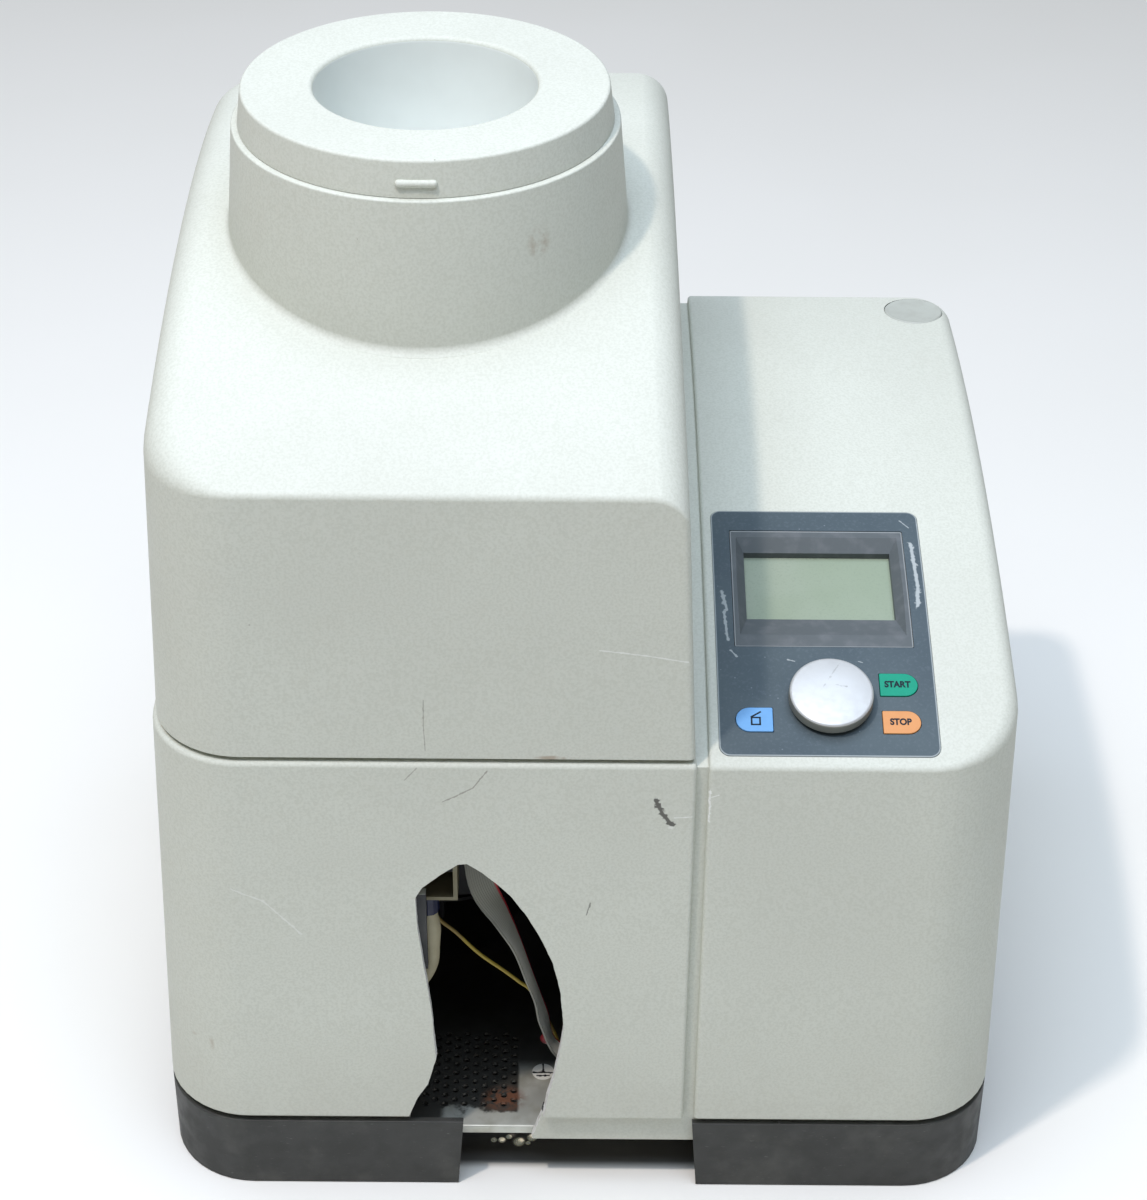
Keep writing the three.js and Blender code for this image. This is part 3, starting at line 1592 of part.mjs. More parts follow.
function socketBody(spec, cavity, corner) {
  const face = casingBack(rear.top) - rear.setBack;
  const outer = opening(spec.x, spec.z, spec.width, spec.height, corner, 0);
  const slab = box(-WIDTH, WIDTH, face - spec.depth, face, 0, HEIGHT);
  const [width, height] = [spec.width - 2 * spec.wall, spec.height - 2 * spec.wall];
  const hollow = opening(spec.x, spec.z, width, height, corner / 2, 0);
  const reach = box(-WIDTH, WIDTH, face - cavity, face + OVERRUN, 0, HEIGHT);
  return cut(common(outer, slab), common(hollow, reach));
}

// The power entry: one moulding with the inlet's cavity and pins, the fuse bay and the switch frame.
function powerEntry() {
  const face = casingBack(rear.top) - rear.setBack;
  const wall = inlet.wall;
  const frameOf = (spec, rim) => {
    const [width, height] = [spec.width + 2 * rim, spec.height + 2 * rim];
    return { x: spec.x, z: spec.z, width, height, wall: rim, depth: inlet.depth };
  };
  let body = join(
    socketBody(inlet, inlet.cavity, inlet.corner),
    socketBody(frameOf(fuse, wall), fuse.depth, STITCH),
    socketBody(frameOf(rocker, rocker.wall), rocker.depth, STITCH),
  );
  body = join(body, box(
    fuse.x - fuse.width / 2,
    inlet.x + inlet.width / 2,
    face - inlet.depth,
    face - inlet.depth + wall,
    inlet.z - inlet.height / 2,
    rocker.z + rocker.height / 2,
  ));
  const spread = inlet.width / 5;
  for (const [x, z] of [[-spread, -inlet.pin], [0, inlet.pin], [spread, -inlet.pin]]) {
    body = join(body, box(
      inlet.x + x - inlet.pin / 2,
      inlet.x + x + inlet.pin / 2,
      face - inlet.cavity - STITCH,
      face - inlet.pin,
      inlet.z + z - inlet.pin,
      inlet.z + z + inlet.pin,
    ));
  }
  return body;
}

function fuseDrawer() {
  const face = casingBack(rear.top) - rear.setBack;
  const [halfX, halfZ] = [fuse.width / 2 - GAP, fuse.height / 2 - GAP];
  const back = face - fuse.depth + GAP;
  const block = box(fuse.x - halfX, fuse.x + halfX, back, face, fuse.z - halfZ, fuse.z + halfZ);
  const bay = box(
    fuse.x - halfX + fuse.face,
    fuse.x + halfX - fuse.face,
    back + fuse.face,
    face - fuse.face,
    fuse.z - halfZ / 2,
    fuse.z + halfZ + OVERRUN,
  );
  return cut(block, bay);
}

// The rocker is a shallow V, so that one half lies flush while the other stands out.
function rockerPiece() {
  const face = casingBack(rear.top) - rear.setBack;
  const half = rocker.height / 2 - 2 * GAP;
  const rise = half * Math.tan((rocker.tilt * Math.PI) / 360);
  const back = face - rocker.pivotDepth;
  const outline = polygon([
    [back - rocker.pivotDepth * 2, rocker.z],
    [back - rise - STITCH / 2, rocker.z - half],
    [back + rise, rocker.z - half],
    [back - rise / 4, rocker.z],
    [back + rise, rocker.z + half],
    [back - rise - STITCH / 2, rocker.z + half],
  ]);
  const x = rocker.width / 2 - GAP;
  const turnBack = new THREE.Matrix4().makeTranslation(0, back, rocker.z);
  turnBack.multiply(new THREE.Matrix4().makeRotationX((rocker.tilt * Math.PI) / 360));
  turnBack.multiply(new THREE.Matrix4().makeTranslation(0, -back, -rocker.z));
  return prismX(outline, rocker.x - x, rocker.x + x).applyMatrix4(turnBack);
}

// Wiring behind the broken front. A route is a list of points chosen by hand along the real run.

function route(points) {
  return new THREE.CatmullRomCurve3(points.map((p) => new THREE.Vector3(...p)), false, "centripetal");
}

function wire(points, radius, steps, sides = 8) {
  const section = new THREE.Shape();
  section.absarc(0, 0, radius, 0, Math.PI * 2);
  const options = { steps, extrudePath: route(points), curveSegments: sides / 2, bevelEnabled: false };
  return new THREE.ExtrudeGeometry(section, options);
}

// A flat cable: at each step a thin rectangle, turned to follow its list of edge directions.
function flatCable(points, directions, width, thickness, steps) {
  const path = route(points);
  const edges = route(directions);
  const corners = [];
  for (let i = 0; i <= steps; i += 1) {
    const centre = path.getPoint(i / steps);
    const along = path.getTangent(i / steps);
    const across = edges.getPoint(i / steps);
    across.addScaledVector(along, -across.dot(along)).normalize();
    const up = new THREE.Vector3().crossVectors(along, across);
    for (const [a, b] of [[-1, -1], [1, -1], [1, 1], [-1, 1]]) {
      const corner = centre.clone();
      corner.addScaledVector(across, (a * width) / 2).addScaledVector(up, (b * thickness) / 2);
      corners.push(corner.toArray());
    }
  }
  const index = [0, 1, 2, 0, 2, 3];
  const last = 4 * steps;
  index.push(last, last + 2, last + 1, last, last + 3, last + 2);
  for (let i = 0; i < steps; i += 1) {
    for (let k = 0; k < 4; k += 1) {
      const [a, b] = [4 * i + k, 4 * i + ((k + 1) % 4)];
      index.push(a, b + 4, b, a, a + 4, b + 4);
    }
  }
  const geometry = new THREE.BufferGeometry();
  geometry.setAttribute("position", new THREE.Float32BufferAttribute(corners.flat(), 3));
  geometry.setIndex(index);
  return geometry;
}

const ribbonRoute = [
  [-50.2, -150, 232.4], [-50, -152, 206], [-47.2, -157, 176], [-38.2, -158, 156], [-31.1, -158, 139],
  [-25.6, -158, 120], [-21.3, -158, 105], [-17.7, -158, 89.7], [-9.3, -157, 66.4], [18, -146, 54],
  [58, -130, 62], [104, -44, 88],
];
const ribbonEdges = [
  [1, 0.2, 0], [1, 0.2, 0], [0.95, 0.3, 0], [0.5, 0.87, 0], [0.16, 0.98, 0],
  [0.1, 0.99, 0], [0.07, 1, 0], [0.2, 0.98, 0], [-0.1, 0.99, 0], [0, 1, 0],
  [0, 1, 0], [0, 1, 0],
];
const earthRoute = [
  [-66, -148, 171], [-68, -149, 160], [-69.1, -150, 148.3], [-60.3, -150, 138.1], [-49.1, -150, 124.4],
  [-37.7, -150, 113.9], [-29.8, -150, 106.2], [-24.2, -149.6, 100], [-17.7, -149, 84.5], [-13.3, -149, 73.5],
  [-8.5, -149, 60], [0, -148, 46], [4, -148, 34.2],
];
const conduitRoute = [
  [-72.5, -157, 158.5], [-72, -157, 148], [-71.8, -157, 136], [-72.8, -156, 124], [-77.4, -154, 112],
  [-84, -146, 98], [-91, -132, 80], [-96, -120, 62], [-98, -112, 48], [-98, -110, 34],
];

function ribbonCable() {
  return flatCable(ribbonRoute, ribbonEdges, ribbon.width, ribbon.thickness, 28);
}

function conduitSleeve() {
  const top = conduitRoute[0][2] + conduit.sleeveLength + GAP;
  const [x, y, z] = conduitRoute[0];
  return cylinder(conduit.sleeveRadius, z + GAP, top, 12).translate(x, y, 0);
}

// The folded bracket under the lock drive, which carries the connectors.
function cableBracket() {
  const top = casing.seam - casing.wall - 2 * GAP - lock.driveHeight;
  const [x, y] = conduitRoute[0];
  const right = x + clip.width + clip.thickness;
  const low = conduitRoute[0][2] + conduit.sleeveLength + 2 * GAP;
  const [front, back] = [y - clip.depth / 2, y + clip.depth / 2];
  const shelf = box(x - clip.width / 2, right, front, back, low, low + clip.thickness);
  const web = box(right - clip.thickness, right, front, back, low, top);
  return join(shelf, web);
}

// The assembly

addPiece("lower_casing", lowerCasing(), material.paint);
addPiece("base_tray", baseTray(), material.galvanised);
addPiece("foot_front_left", rubberFoot(-1, -1), material.rubber);
addPiece("foot_front_right", rubberFoot(1, -1), material.rubber);
addPiece("foot_rear_left", rubberFoot(-1, 1), material.rubber);
addPiece("foot_rear_right", rubberFoot(1, 1), material.rubber);
addPiece("left_skirt", skirtPiece(-1, skirt.leftEnd), material.rubber);
addPiece("right_skirt", skirtPiece(1, skirt.rightEnd), material.rubber);

addPiece("hood_shell", hoodShell(), material.paint);
addPiece("hood_liner", hoodLiner(), material.stainless);
addPiece("hood_seal", hoodSeal(), material.rubber);
addPiece("hood_catch", hoodCatch(), material.stainless);
addPiece("hopper_insert", hopperInsert(), material.paint);

for (const [i, side] of ["left", "right"].entries()) {
  addPiece(`hinge_arm_${side}`, hingeArm(hinge.places[i]), material.galvanised);
  addPiece(`hinge_bracket_${side}`, hingeBracket(hinge.places[i]), material.galvanised);
  addPiece(`hinge_pin_${side}`, hingePin(hinge.places[i]), material.bearingSteel);
}

addPiece("chamber_bowl", chamberBowl(), material.castAluminium);
addPiece("cassette_pan", cassettePan(), material.stainless);
addPiece("cassette_lid", cassetteLid(), material.stainless);
addPiece("ring_sieve", ringSieve(), material.stainless);
addPiece("mill_rotor", rotorPiece(), material.stainless);
addPiece("motor_shaft", motorShaft(), material.bearingSteel);
addPiece("cooling_fan", coolingFan(), material.blackPlastic);
addPiece("shaft_seal", shaftSeal(), material.rubber);
addPiece("motor_housing", motorHousing(), material.motorBlack);
addPiece("motor_carrier", motorCarrier(), material.castAluminium);
addPiece("upper_bearing", bearingRing(motor.top - motor.bearingHeight + GAP), material.bearingSteel);
addPiece("lower_bearing", bearingRing(motor.bottom), material.bearingSteel);
for (let i = 0; i < carrier.buffers; i += 1) {
  addPiece(`rubber_buffer_${i + 1}`, rubberBuffer(i), material.rubber);
}

addPiece("lock_drive", lockDrive(), material.blackPlastic);
addPiece("lock_bolt", lockBolt(), material.bearingSteel);

addPiece("control_label", controlLabel(), material.film);
addPiece("display_bezel", displayBezel(), material.bezelGrey);
addPiece("lcd_module", lcdModule(), material.glass);
addPiece("control_knob", knobPiece(), material.silver);
addPiece("encoder_shaft", encoderShaft(), material.bearingSteel);
addPiece("encoder_body", encoderBody(), material.blackPlastic);
for (const spec of keys) {
  addPiece(spec.name, keyPiece(spec), { ...material.film, color: spec.color });
}
addPiece("control_board", controlBoard(), material.circuit);
addPiece("socket_cap", socketCap(), material.capGrey);
addPiece("socket_tube", socketTube(), material.blackPlastic);
addPiece("inverter_case", inverterCase(), material.galvanised);
addPiece("heat_sink", heatSink(), material.castAluminium);

addPiece("rear_panel", rearPanel(), material.galvanised);
addPiece("rear_grille", rearGrille(), material.blackPlastic);
addPiece("power_entry", powerEntry(), material.blackPlastic);
addPiece("fuse_drawer", fuseDrawer(), material.blackPlastic);
addPiece("mains_rocker", rockerPiece(), material.blackPlastic);

addPiece("ribbon_cable", ribbonCable(), material.ribbonGrey);
addPiece("earth_wire", wire(earthRoute, earthWire.radius, 24, 6), material.earthGreen);
addPiece("motor_lead", wire(conduitRoute, conduit.radius, 20), material.beige);
addPiece("lead_sleeve", conduitSleeve(), material.blue);
addPiece("cable_bracket", cableBracket(), material.beige);

export default machine;
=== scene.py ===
# %% [markdown]
# # A worn bench mill in a pale studio
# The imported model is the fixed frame: it says where every part of the mill is and what it moves with.
# Everything below dresses that frame. Lengths are in millimetres, and become metres when a mesh is made.

# %% Load the fixed frame
import math

import bmesh
import bpy
import numpy as np
from mathutils import Matrix, Vector


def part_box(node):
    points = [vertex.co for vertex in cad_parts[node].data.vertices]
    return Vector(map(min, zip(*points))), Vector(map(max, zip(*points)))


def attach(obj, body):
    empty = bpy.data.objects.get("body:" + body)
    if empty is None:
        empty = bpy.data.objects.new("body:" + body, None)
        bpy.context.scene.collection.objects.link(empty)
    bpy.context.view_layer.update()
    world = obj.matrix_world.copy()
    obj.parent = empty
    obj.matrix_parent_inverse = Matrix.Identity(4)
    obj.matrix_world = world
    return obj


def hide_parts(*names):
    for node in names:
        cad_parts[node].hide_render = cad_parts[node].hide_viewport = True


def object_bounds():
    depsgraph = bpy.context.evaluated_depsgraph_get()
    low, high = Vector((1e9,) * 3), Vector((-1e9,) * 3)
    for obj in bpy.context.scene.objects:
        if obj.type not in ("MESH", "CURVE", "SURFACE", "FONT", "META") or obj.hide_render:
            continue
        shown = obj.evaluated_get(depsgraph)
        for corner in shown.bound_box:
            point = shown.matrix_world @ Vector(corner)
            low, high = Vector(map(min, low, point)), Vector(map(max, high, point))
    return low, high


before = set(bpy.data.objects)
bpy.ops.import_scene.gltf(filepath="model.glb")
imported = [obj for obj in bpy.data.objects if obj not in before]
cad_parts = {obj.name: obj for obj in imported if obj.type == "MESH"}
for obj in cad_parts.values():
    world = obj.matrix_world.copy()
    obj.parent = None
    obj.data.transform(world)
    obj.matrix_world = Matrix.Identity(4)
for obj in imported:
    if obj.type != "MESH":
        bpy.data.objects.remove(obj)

for leftover in ("Cube", "Light", "Camera"):
    if leftover in bpy.data.objects:
        bpy.data.objects.remove(bpy.data.objects[leftover])
cad_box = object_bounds()
print(len(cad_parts), "nodes in the frame")

# %% [markdown]
# ## Driving dimensions
# The envelope and the milling axis are read from the frame. The walls lean inwards a little as they rise,
# as every moulding does, so that it leaves its mould. A few named lengths say how much.

# %% Dimensions of the housing
MM = 0.001
GAP = 0.3
WIDTH, DEPTH, HEIGHT = ((cad_box[1] - cad_box[0]) / MM)


def node_box(name):
    """Lowest and highest corner of a frame node, in millimetres."""
    low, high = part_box(name)
    return np.array(low) / MM, np.array(high) / MM


AXIS = sum(node_box("mill_rotor"))[:2] / 2
FACE_BOTTOM, SEAM, LIP_BOTTOM = 46.5, 262.0, 28.0
WALL, LIP_INSET, LIP_WALL = 4.0, 3.7, 3.0
LEFT_DRAFT, RIGHT_DRAFT, FRONT_DRAFT, BACK_DRAFT = 7.5, 5.8, 4.2, 4.5
CORNER, REAR_RIGHT_CORNER, EDGE = 43.0, 20.0, 2.0
GROOVE_LEFT, GROOVE_RIGHT, GROOVE_DEPTH, GROOVE_FLANK = 51.0, 56.4, 3.5, 6.0
PANEL_FRONT, PANEL_BACK, PANEL_BULGE, PANEL_ROLL, PANEL_FRONT_ROLL = 261.5, 311.0, 20.4, 8.0, 1.8
HOOD_BOTTOM, HOOD_SET_BACK = SEAM + 2.6, 1.6
HOOD_RIGHT, HOOD_CRISP, HOOD_ROLL, HOOD_END_ROLL = 50.3, 3.0, 17.0, 2.0
HOOD_FRONT_HEIGHT, HOOD_BACK_HEIGHT, HOOD_BULGE = 401.0, 441.4, 29.6
LEFT_LEAN, RIGHT_LEAN, FRONT_LEAN, BACK_LEAN = 7.4, 8.7, 2.3, 1.3
OVERRUN = 20.0


def lean(z):
    """Share of the lower casing's height: 0 at the foot of its face, 1 at the seam."""
    return (z - FACE_BOTTOM) / (SEAM - FACE_BOTTOM)


def hood_lean(z):
    """Share of the hood's height: 0 at its lower edge, 1 at the top of its back."""
    return (z - HOOD_BOTTOM) / (HOOD_BACK_HEIGHT - HOOD_BOTTOM)


def casing_left(z):
    return -WIDTH / 2 + LEFT_DRAFT * lean(z)


def casing_right(z):
    return WIDTH / 2 - RIGHT_DRAFT * lean(z)


def casing_front(z):
    return -DEPTH / 2 + FRONT_DRAFT * lean(z)


def casing_back(z):
    return DEPTH / 2 - BACK_DRAFT * lean(z)


def hood_front(z):
    return casing_front(SEAM) + HOOD_SET_BACK + FRONT_LEAN * hood_lean(z)


def hood_back(z):
    return casing_back(SEAM) - HOOD_SET_BACK - BACK_LEAN * hood_lean(z)


def hood_left(z):
    return casing_left(SEAM) + HOOD_SET_BACK + LEFT_LEAN * hood_lean(z)


def hood_right(z):
    return HOOD_RIGHT - RIGHT_LEAN * hood_lean(z)


def arched(front, back, front_height, back_height, bulge):
    """Height over depth: a straight rise plus a parabola, 4 times the bulge times t(1 - t) in the share t."""
    def height(y):
        t = (y - front) / (back - front)
        return front_height + (back_height - front_height) * t + 4 * bulge * t * (1 - t)
    return height


panel_top = arched(casing_front(SEAM), casing_back(SEAM), PANEL_FRONT, PANEL_BACK, PANEL_BULGE)
hood_arch = arched(hood_front(HOOD_FRONT_HEIGHT), hood_back(HOOD_BACK_HEIGHT),
                   HOOD_FRONT_HEIGHT, HOOD_BACK_HEIGHT, HOOD_BULGE)
print("envelope", WIDTH, DEPTH, HEIGHT, "milling axis", AXIS)

# %% [markdown]
# ## Camera
# The photograph was taken from high in front of the machine, looking down by about 34 degrees. The angles and
# the place come from a camera with lens bending that was fitted to the housing's edges. This plain camera has
# none: it is 1.7 pixels (root mean square) from that one, and 6.6 pixels at the worst point, low at the front.

# %% Camera
PHOTO_HEIGHT = 1200
FOCAL_PIXELS = 2627.274
SENSOR = 36.0
PITCH, YAW, ROLL = (math.radians(angle) for angle in (34.46676, 0.035146, 0.455758))
CAMERA_PLACE = (-5.373, -1102.648, 986.492)
forward = np.array([math.sin(YAW) * math.cos(PITCH), math.cos(YAW) * math.cos(PITCH), -math.sin(PITCH)])
level_right = np.array([math.cos(YAW), -math.sin(YAW), 0.0])
level_up = np.cross(level_right, forward)
camera_right = math.cos(ROLL) * level_right + math.sin(ROLL) * level_up
camera_up = -math.sin(ROLL) * level_right + math.cos(ROLL) * level_up
camera = bpy.data.objects.new("camera", bpy.data.cameras.new("camera"))
camera.data.sensor_width = SENSOR
camera.data.lens = FOCAL_PIXELS / PHOTO_HEIGHT * SENSOR
turn = np.eye(4)
turn[:3, :3] = np.stack([camera_right, camera_up, -forward], axis=1)
turn[:3, 3] = np.array(CAMERA_PLACE) * MM
camera.matrix_world = Matrix(turn)
bpy.context.scene.collection.objects.link(camera)
bpy.context.scene.camera = camera
print("lens", round(camera.data.lens, 2), "mm")

# %% [markdown]
# ## Light and floor
# The photograph is lit from nearly overhead: tops are almost white, fronts are mid grey, and the hood's shadow
# reaches to the edge of the control label. A small lamp high at the front left gives that shadow its sharp
# edge, and a wide, faintly blue panel overhead fills it. The pale floor lights the fronts from below.

# %% Light and floor
def area_light(name, place, target, size, watts, colour):
    """A square lamp at a place, in metres, turned so that it faces its target."""
    lamp = bpy.data.objects.new(name, bpy.data.lights.new(name, "AREA"))
    lamp.data.size, lamp.data.energy, lamp.data.color = size, watts, colour
    direction = Vector(target) - Vector(place)
    lamp.location = place
    lamp.rotation_euler = direction.to_track_quat("-Z", "Y").to_euler()
    bpy.context.scene.collection.objects.link(lamp)
    return lamp


area_light("key", (-0.83, -0.87, 2.9), (0.0, 0.0, 0.3), 0.13, 34.0, (1.0, 0.87, 0.79))
area_light("sky", (-0.10, -0.42, 2.4), (-0.10, -0.42, 0.0), 2.2, 69.0, (0.71, 0.825, 1.0))

world = bpy.data.worlds.new("studio")
bpy.context.scene.world = world
world.use_nodes = True
world.node_tree.nodes["Background"].inputs["Color"].default_value = (1.0, 0.98, 0.91, 1.0)
world.node_tree.nodes["Background"].inputs["Strength"].default_value = 0.20
bpy.context.scene.view_settings.view_transform = "Standard"

# %% [markdown]
# ## Surfaces as arrays
# Every new piece is a grid of points, worked out as whole arrays. A helper turns a grid into a mesh, another
# joins and cuts closed meshes, and a last one gives the finished mesh its smooth shading, finish and body.

# %% Grids to meshes
def mesh_object(name, points, faces):
    """A mesh object at the origin from points in millimetres and faces of equal length."""
    faces = np.asarray(faces)
    used, packed = np.unique(faces, return_inverse=True)
    points = np.asarray(points, float).reshape(-1, 3)[used] * MM
    mesh = bpy.data.meshes.new(name)
    mesh.from_pydata(points.tolist(), [], packed.reshape(faces.shape).tolist())
    obj = bpy.data.objects.new(name, mesh)
    bpy.context.scene.collection.objects.link(obj)
    return obj


def closed(obj):
    """Merges doubled points, drops faces without area and turns the faces outwards."""
    work = bmesh.new()
    work.from_mesh(obj.data)
    bmesh.ops.remove_doubles(work, verts=work.verts, dist=1e-6)
    bmesh.ops.dissolve_degenerate(work, edges=work.edges, dist=1e-7)
    if work.calc_volume(signed=True) < 0:
        bmesh.ops.reverse_faces(work, faces=work.faces)
    work.to_mesh(obj.data)
    work.free()
    return obj


def strip_faces(rows, columns, wrap_rows=False, wrap_columns=False):
    """Four-sided faces of a grid of rows and columns, which may close on itself either way."""
    i = np.arange(rows if wrap_rows else rows - 1)[:, None]
    j = np.arange(columns if wrap_columns else columns - 1)[None, :]
    corners = [(i, j), (i, j + 1), (i + 1, j + 1), (i + 1, j)]
    flat = [(a % rows) * columns + (b % columns) for a, b in corners]
    return np.stack([np.broadcast_to(f, (i.size, j.size)) for f in flat], axis=-1).reshape(-1, 4)


# The faces of a box whose eight corners are its lower ring and then its upper ring
BOX_FACES = np.concatenate([strip_faces(2, 4, False, True), [[3, 2, 1, 0], [4, 5, 6, 7]]])


def boolean(target, operation, *tools):
    """Joins or cuts closed meshes exactly, keeps the result in target and removes the tools."""
    for tool in tools:
        step = target.modifiers.new(operation, "BOOLEAN")
        step.operation, step.solver, step.object = operation, "MANIFOLD", tool
    result = target.evaluated_get(bpy.context.evaluated_depsgraph_get())
    mesh = bpy.data.meshes.new_from_object(result)
    target.modifiers.clear()
    target.data = mesh
    for tool in tools:
        bpy.data.objects.remove(tool)
    return target


def moved(obj, matrix):
    """Applies a placement, in millimetres, to the mesh, so that the object stays at the origin."""
    scaled = np.array(matrix, float)
    scaled[:3, 3] *= MM
    obj.data.transform(Matrix(scaled))
    return obj


def end_steps(reach, radii, count=12):
    """Distances from an end wall, close where a rounded corner turns fastest: r(1 - cos a) for each radius."""
    angles = np.linspace(0, math.pi / 2, count)
    steps = np.concatenate([[0.0, reach]] + [r * (1 - np.cos(angles)) for r in radii if r > 0])
    steps = np.unique(np.round(steps, 2))
    return steps[np.r_[True, np.diff(steps) > 0.04]]


def body_form(name, walls, top, bottom, radii, rolls=(0, 0, 0), rows=12, shares=None, roll_steps=6):
    """A closed moulding with four leaning walls, rounded upright corners and a rolled top edge.

    walls are left, right, front and back, as functions of height. top and bottom are heights as functions
    of x and y. A corner of radius r stays r(1 - sqrt(1 - a^2)) behind its wall, where a = (r - d)/r at the
    distance d from the end wall. The rolled edge moves in by e(1 - cos u) and ends e(1 - sin u) under the
    top, as u goes from 0 to a right angle. radii are front left, front right, back left, back right, and
    rolls are left, right and both ends.
    """
    left, right, front, back = walls
    reach = max(max(radii), 1.0) + 0.01
    near, far = end_steps(reach, radii[:2]), end_steps(reach, radii[2:])
    middle = np.linspace(0, 1, rows + 2)[1:-1]
    a = np.concatenate([near, np.full(rows, reach), 2 * reach - far[::-1]])
    b = np.concatenate([0 * near, middle, 1 + 0 * far])
    s = np.linspace(0, 1, 9) if shares is None else np.asarray(shares)

    def level(angle, rolled):
        sides = []
        height = top if rolled else bottom
        for side, wall, roll, corner in ((-1, left, rolls[0], radii[0::2]), (1, right, rolls[1], radii[1::2])):
            z = np.full(a.shape, float(HOOD_BOTTOM))
            for _ in range(5):
                y = front(z) + a + b * (back(z) - front(z) - 2 * reach)
                is_near = y - front(z) < back(z) - y
                distance = np.minimum(y - front(z), back(z) - y)
                radius = np.where(is_near, corner[0], corner[1])
                along = np.clip(1 - distance / np.maximum(radius, 1e-6), 0, 1) * (radius > 0)
                across = np.sqrt(1 - along**2)
                x = wall(z) - side * radius * (1 - across)
                drop = roll * across**2 + rolls[2] * along**2 if rolled else 0 * along
                z = height(x, y) - drop
            turned_in = 1 - math.cos(angle)
            x = x - side * across * roll * turned_in
            y = y + np.where(is_near, 1, -1) * along * rolls[2] * turned_in
            sides.append((x, y, drop))
        (x0, y0, d0), (x1, y1, d1) = sides
        x = x0[:, None] * (1 - s) + x1[:, None] * s
        y = y0[:, None] * (1 - s) + y1[:, None] * s
        drop = d0[:, None] * (1 - s) + d1[:, None] * s
        return np.stack([x, y, height(x, y) - drop * (1 - math.sin(angle))], axis=-1)

    rolling = np.linspace(0, math.pi / 2, roll_steps + 1) if max(rolls) > 0 else [math.pi / 2]
    levels = [level(0, False)] + [level(angle, True) for angle in rolling]
    n, m = len(a), len(s)
    ids = np.arange(n * m).reshape(n, m)
    ring = np.concatenate([ids[::-1, 0], ids[0, 1:-1], ids[:, -1], ids[-1, -2:0:-1]])
    following = np.roll(ring, -1)
    wall_faces = [np.stack([ring, following, following + n * m, ring + n * m], axis=-1) + k * n * m
                  for k in range(len(levels) - 1)]
    cap = strip_faces(n, m)
    faces = np.concatenate(wall_faces + [cap + (len(levels) - 1) * n * m, cap[:, ::-1]])
    return mesh_object(name, np.concatenate([g.reshape(-1, 3) for g in levels]), faces)


def flat(value):
    """A height or a wall that is the same everywhere."""
    return lambda *places: value + 0 * places[0]


def block(name, x0, x1, y0, y1, z0, z1, corner=0.0):
    """A box with rounded upright corners."""
    walls = (flat(x0), flat(x1), flat(y0), flat(y1))
    return body_form(name, walls, flat(z1), flat(z0), (corner,) * 4, rows=1, shares=np.linspace(0, 1, 3))


def softened(profile, radius, steps=5):
    """A closed outline whose corners are eased: at each corner P, the curve (1-t)^2 A + 2t(1-t) P + t^2 B
    between the points A and B that lie a radius from P on its two sides, or half way if they are short."""
    corner = np.asarray(profile, float)
    before, after = np.roll(corner, 1, axis=0) - corner, np.roll(corner, -1, axis=0) - corner
    reach = np.broadcast_to(np.asarray(radius, float), len(corner))[:, None]

    def on_side(side):
        length = np.linalg.norm(side, axis=1, keepdims=True)
        return corner + side / length * np.minimum(reach, 0.45 * length)
    a, b = on_side(before)[:, None], on_side(after)[:, None]
    t = np.linspace(0, 1, steps)[None, :, None]
    return ((1 - t)**2 * a + 2 * t * (1 - t) * corner[:, None] + t**2 * b).reshape(-1, 2)


def turned(name, profile, segments, centre=None, ease=0.0):
    """A profile of radius and height turned about an upright axis: x = r cos u, y = r sin u, z = h."""
    outline = softened(profile, ease) if ease else np.asarray(profile, float)
    u = np.linspace(0, 2 * math.pi, segments, endpoint=False)[:, None]
    x0, y0 = AXIS if centre is None else centre
    r, h = outline[None, :, 0], outline[None, :, 1]
    points = np.stack([x0 + r * np.cos(u), y0 + r * np.sin(u), h + 0 * u], axis=-1)
    return closed(mesh_object(name, points, strip_faces(segments, len(outline), True, True)))


def cylinder(name, radius, z0, z1, centre=None, segments=128):
    return turned(name, [[0, z0], [radius, z0], [radius, z1], [0, z1]], segments, centre)


def smooth_route(points, per_span=8):
    """A smooth curve through the points: each span is a cubic whose slope at a point is half the chord
    between its neighbours."""
    p = np.asarray(points, float)
    p = np.concatenate([[2 * p[0] - p[1]], p, [2 * p[-1] - p[-2]]])
    t = np.linspace(0, 1, per_span, endpoint=False)[None, :, None]
    p0, p1, p2, p3 = (p[i:len(p) - 3 + i, None] for i in range(4))
    curve = 0.5 * (2 * p1 + (p2 - p0) * t + (2 * p0 - 5 * p1 + 4 * p2 - p3) * t**2
                   + (3 * p1 - p0 - 3 * p2 + p3) * t**3)
    return np.concatenate([curve.reshape(-1, 3), p[-2:-1]])


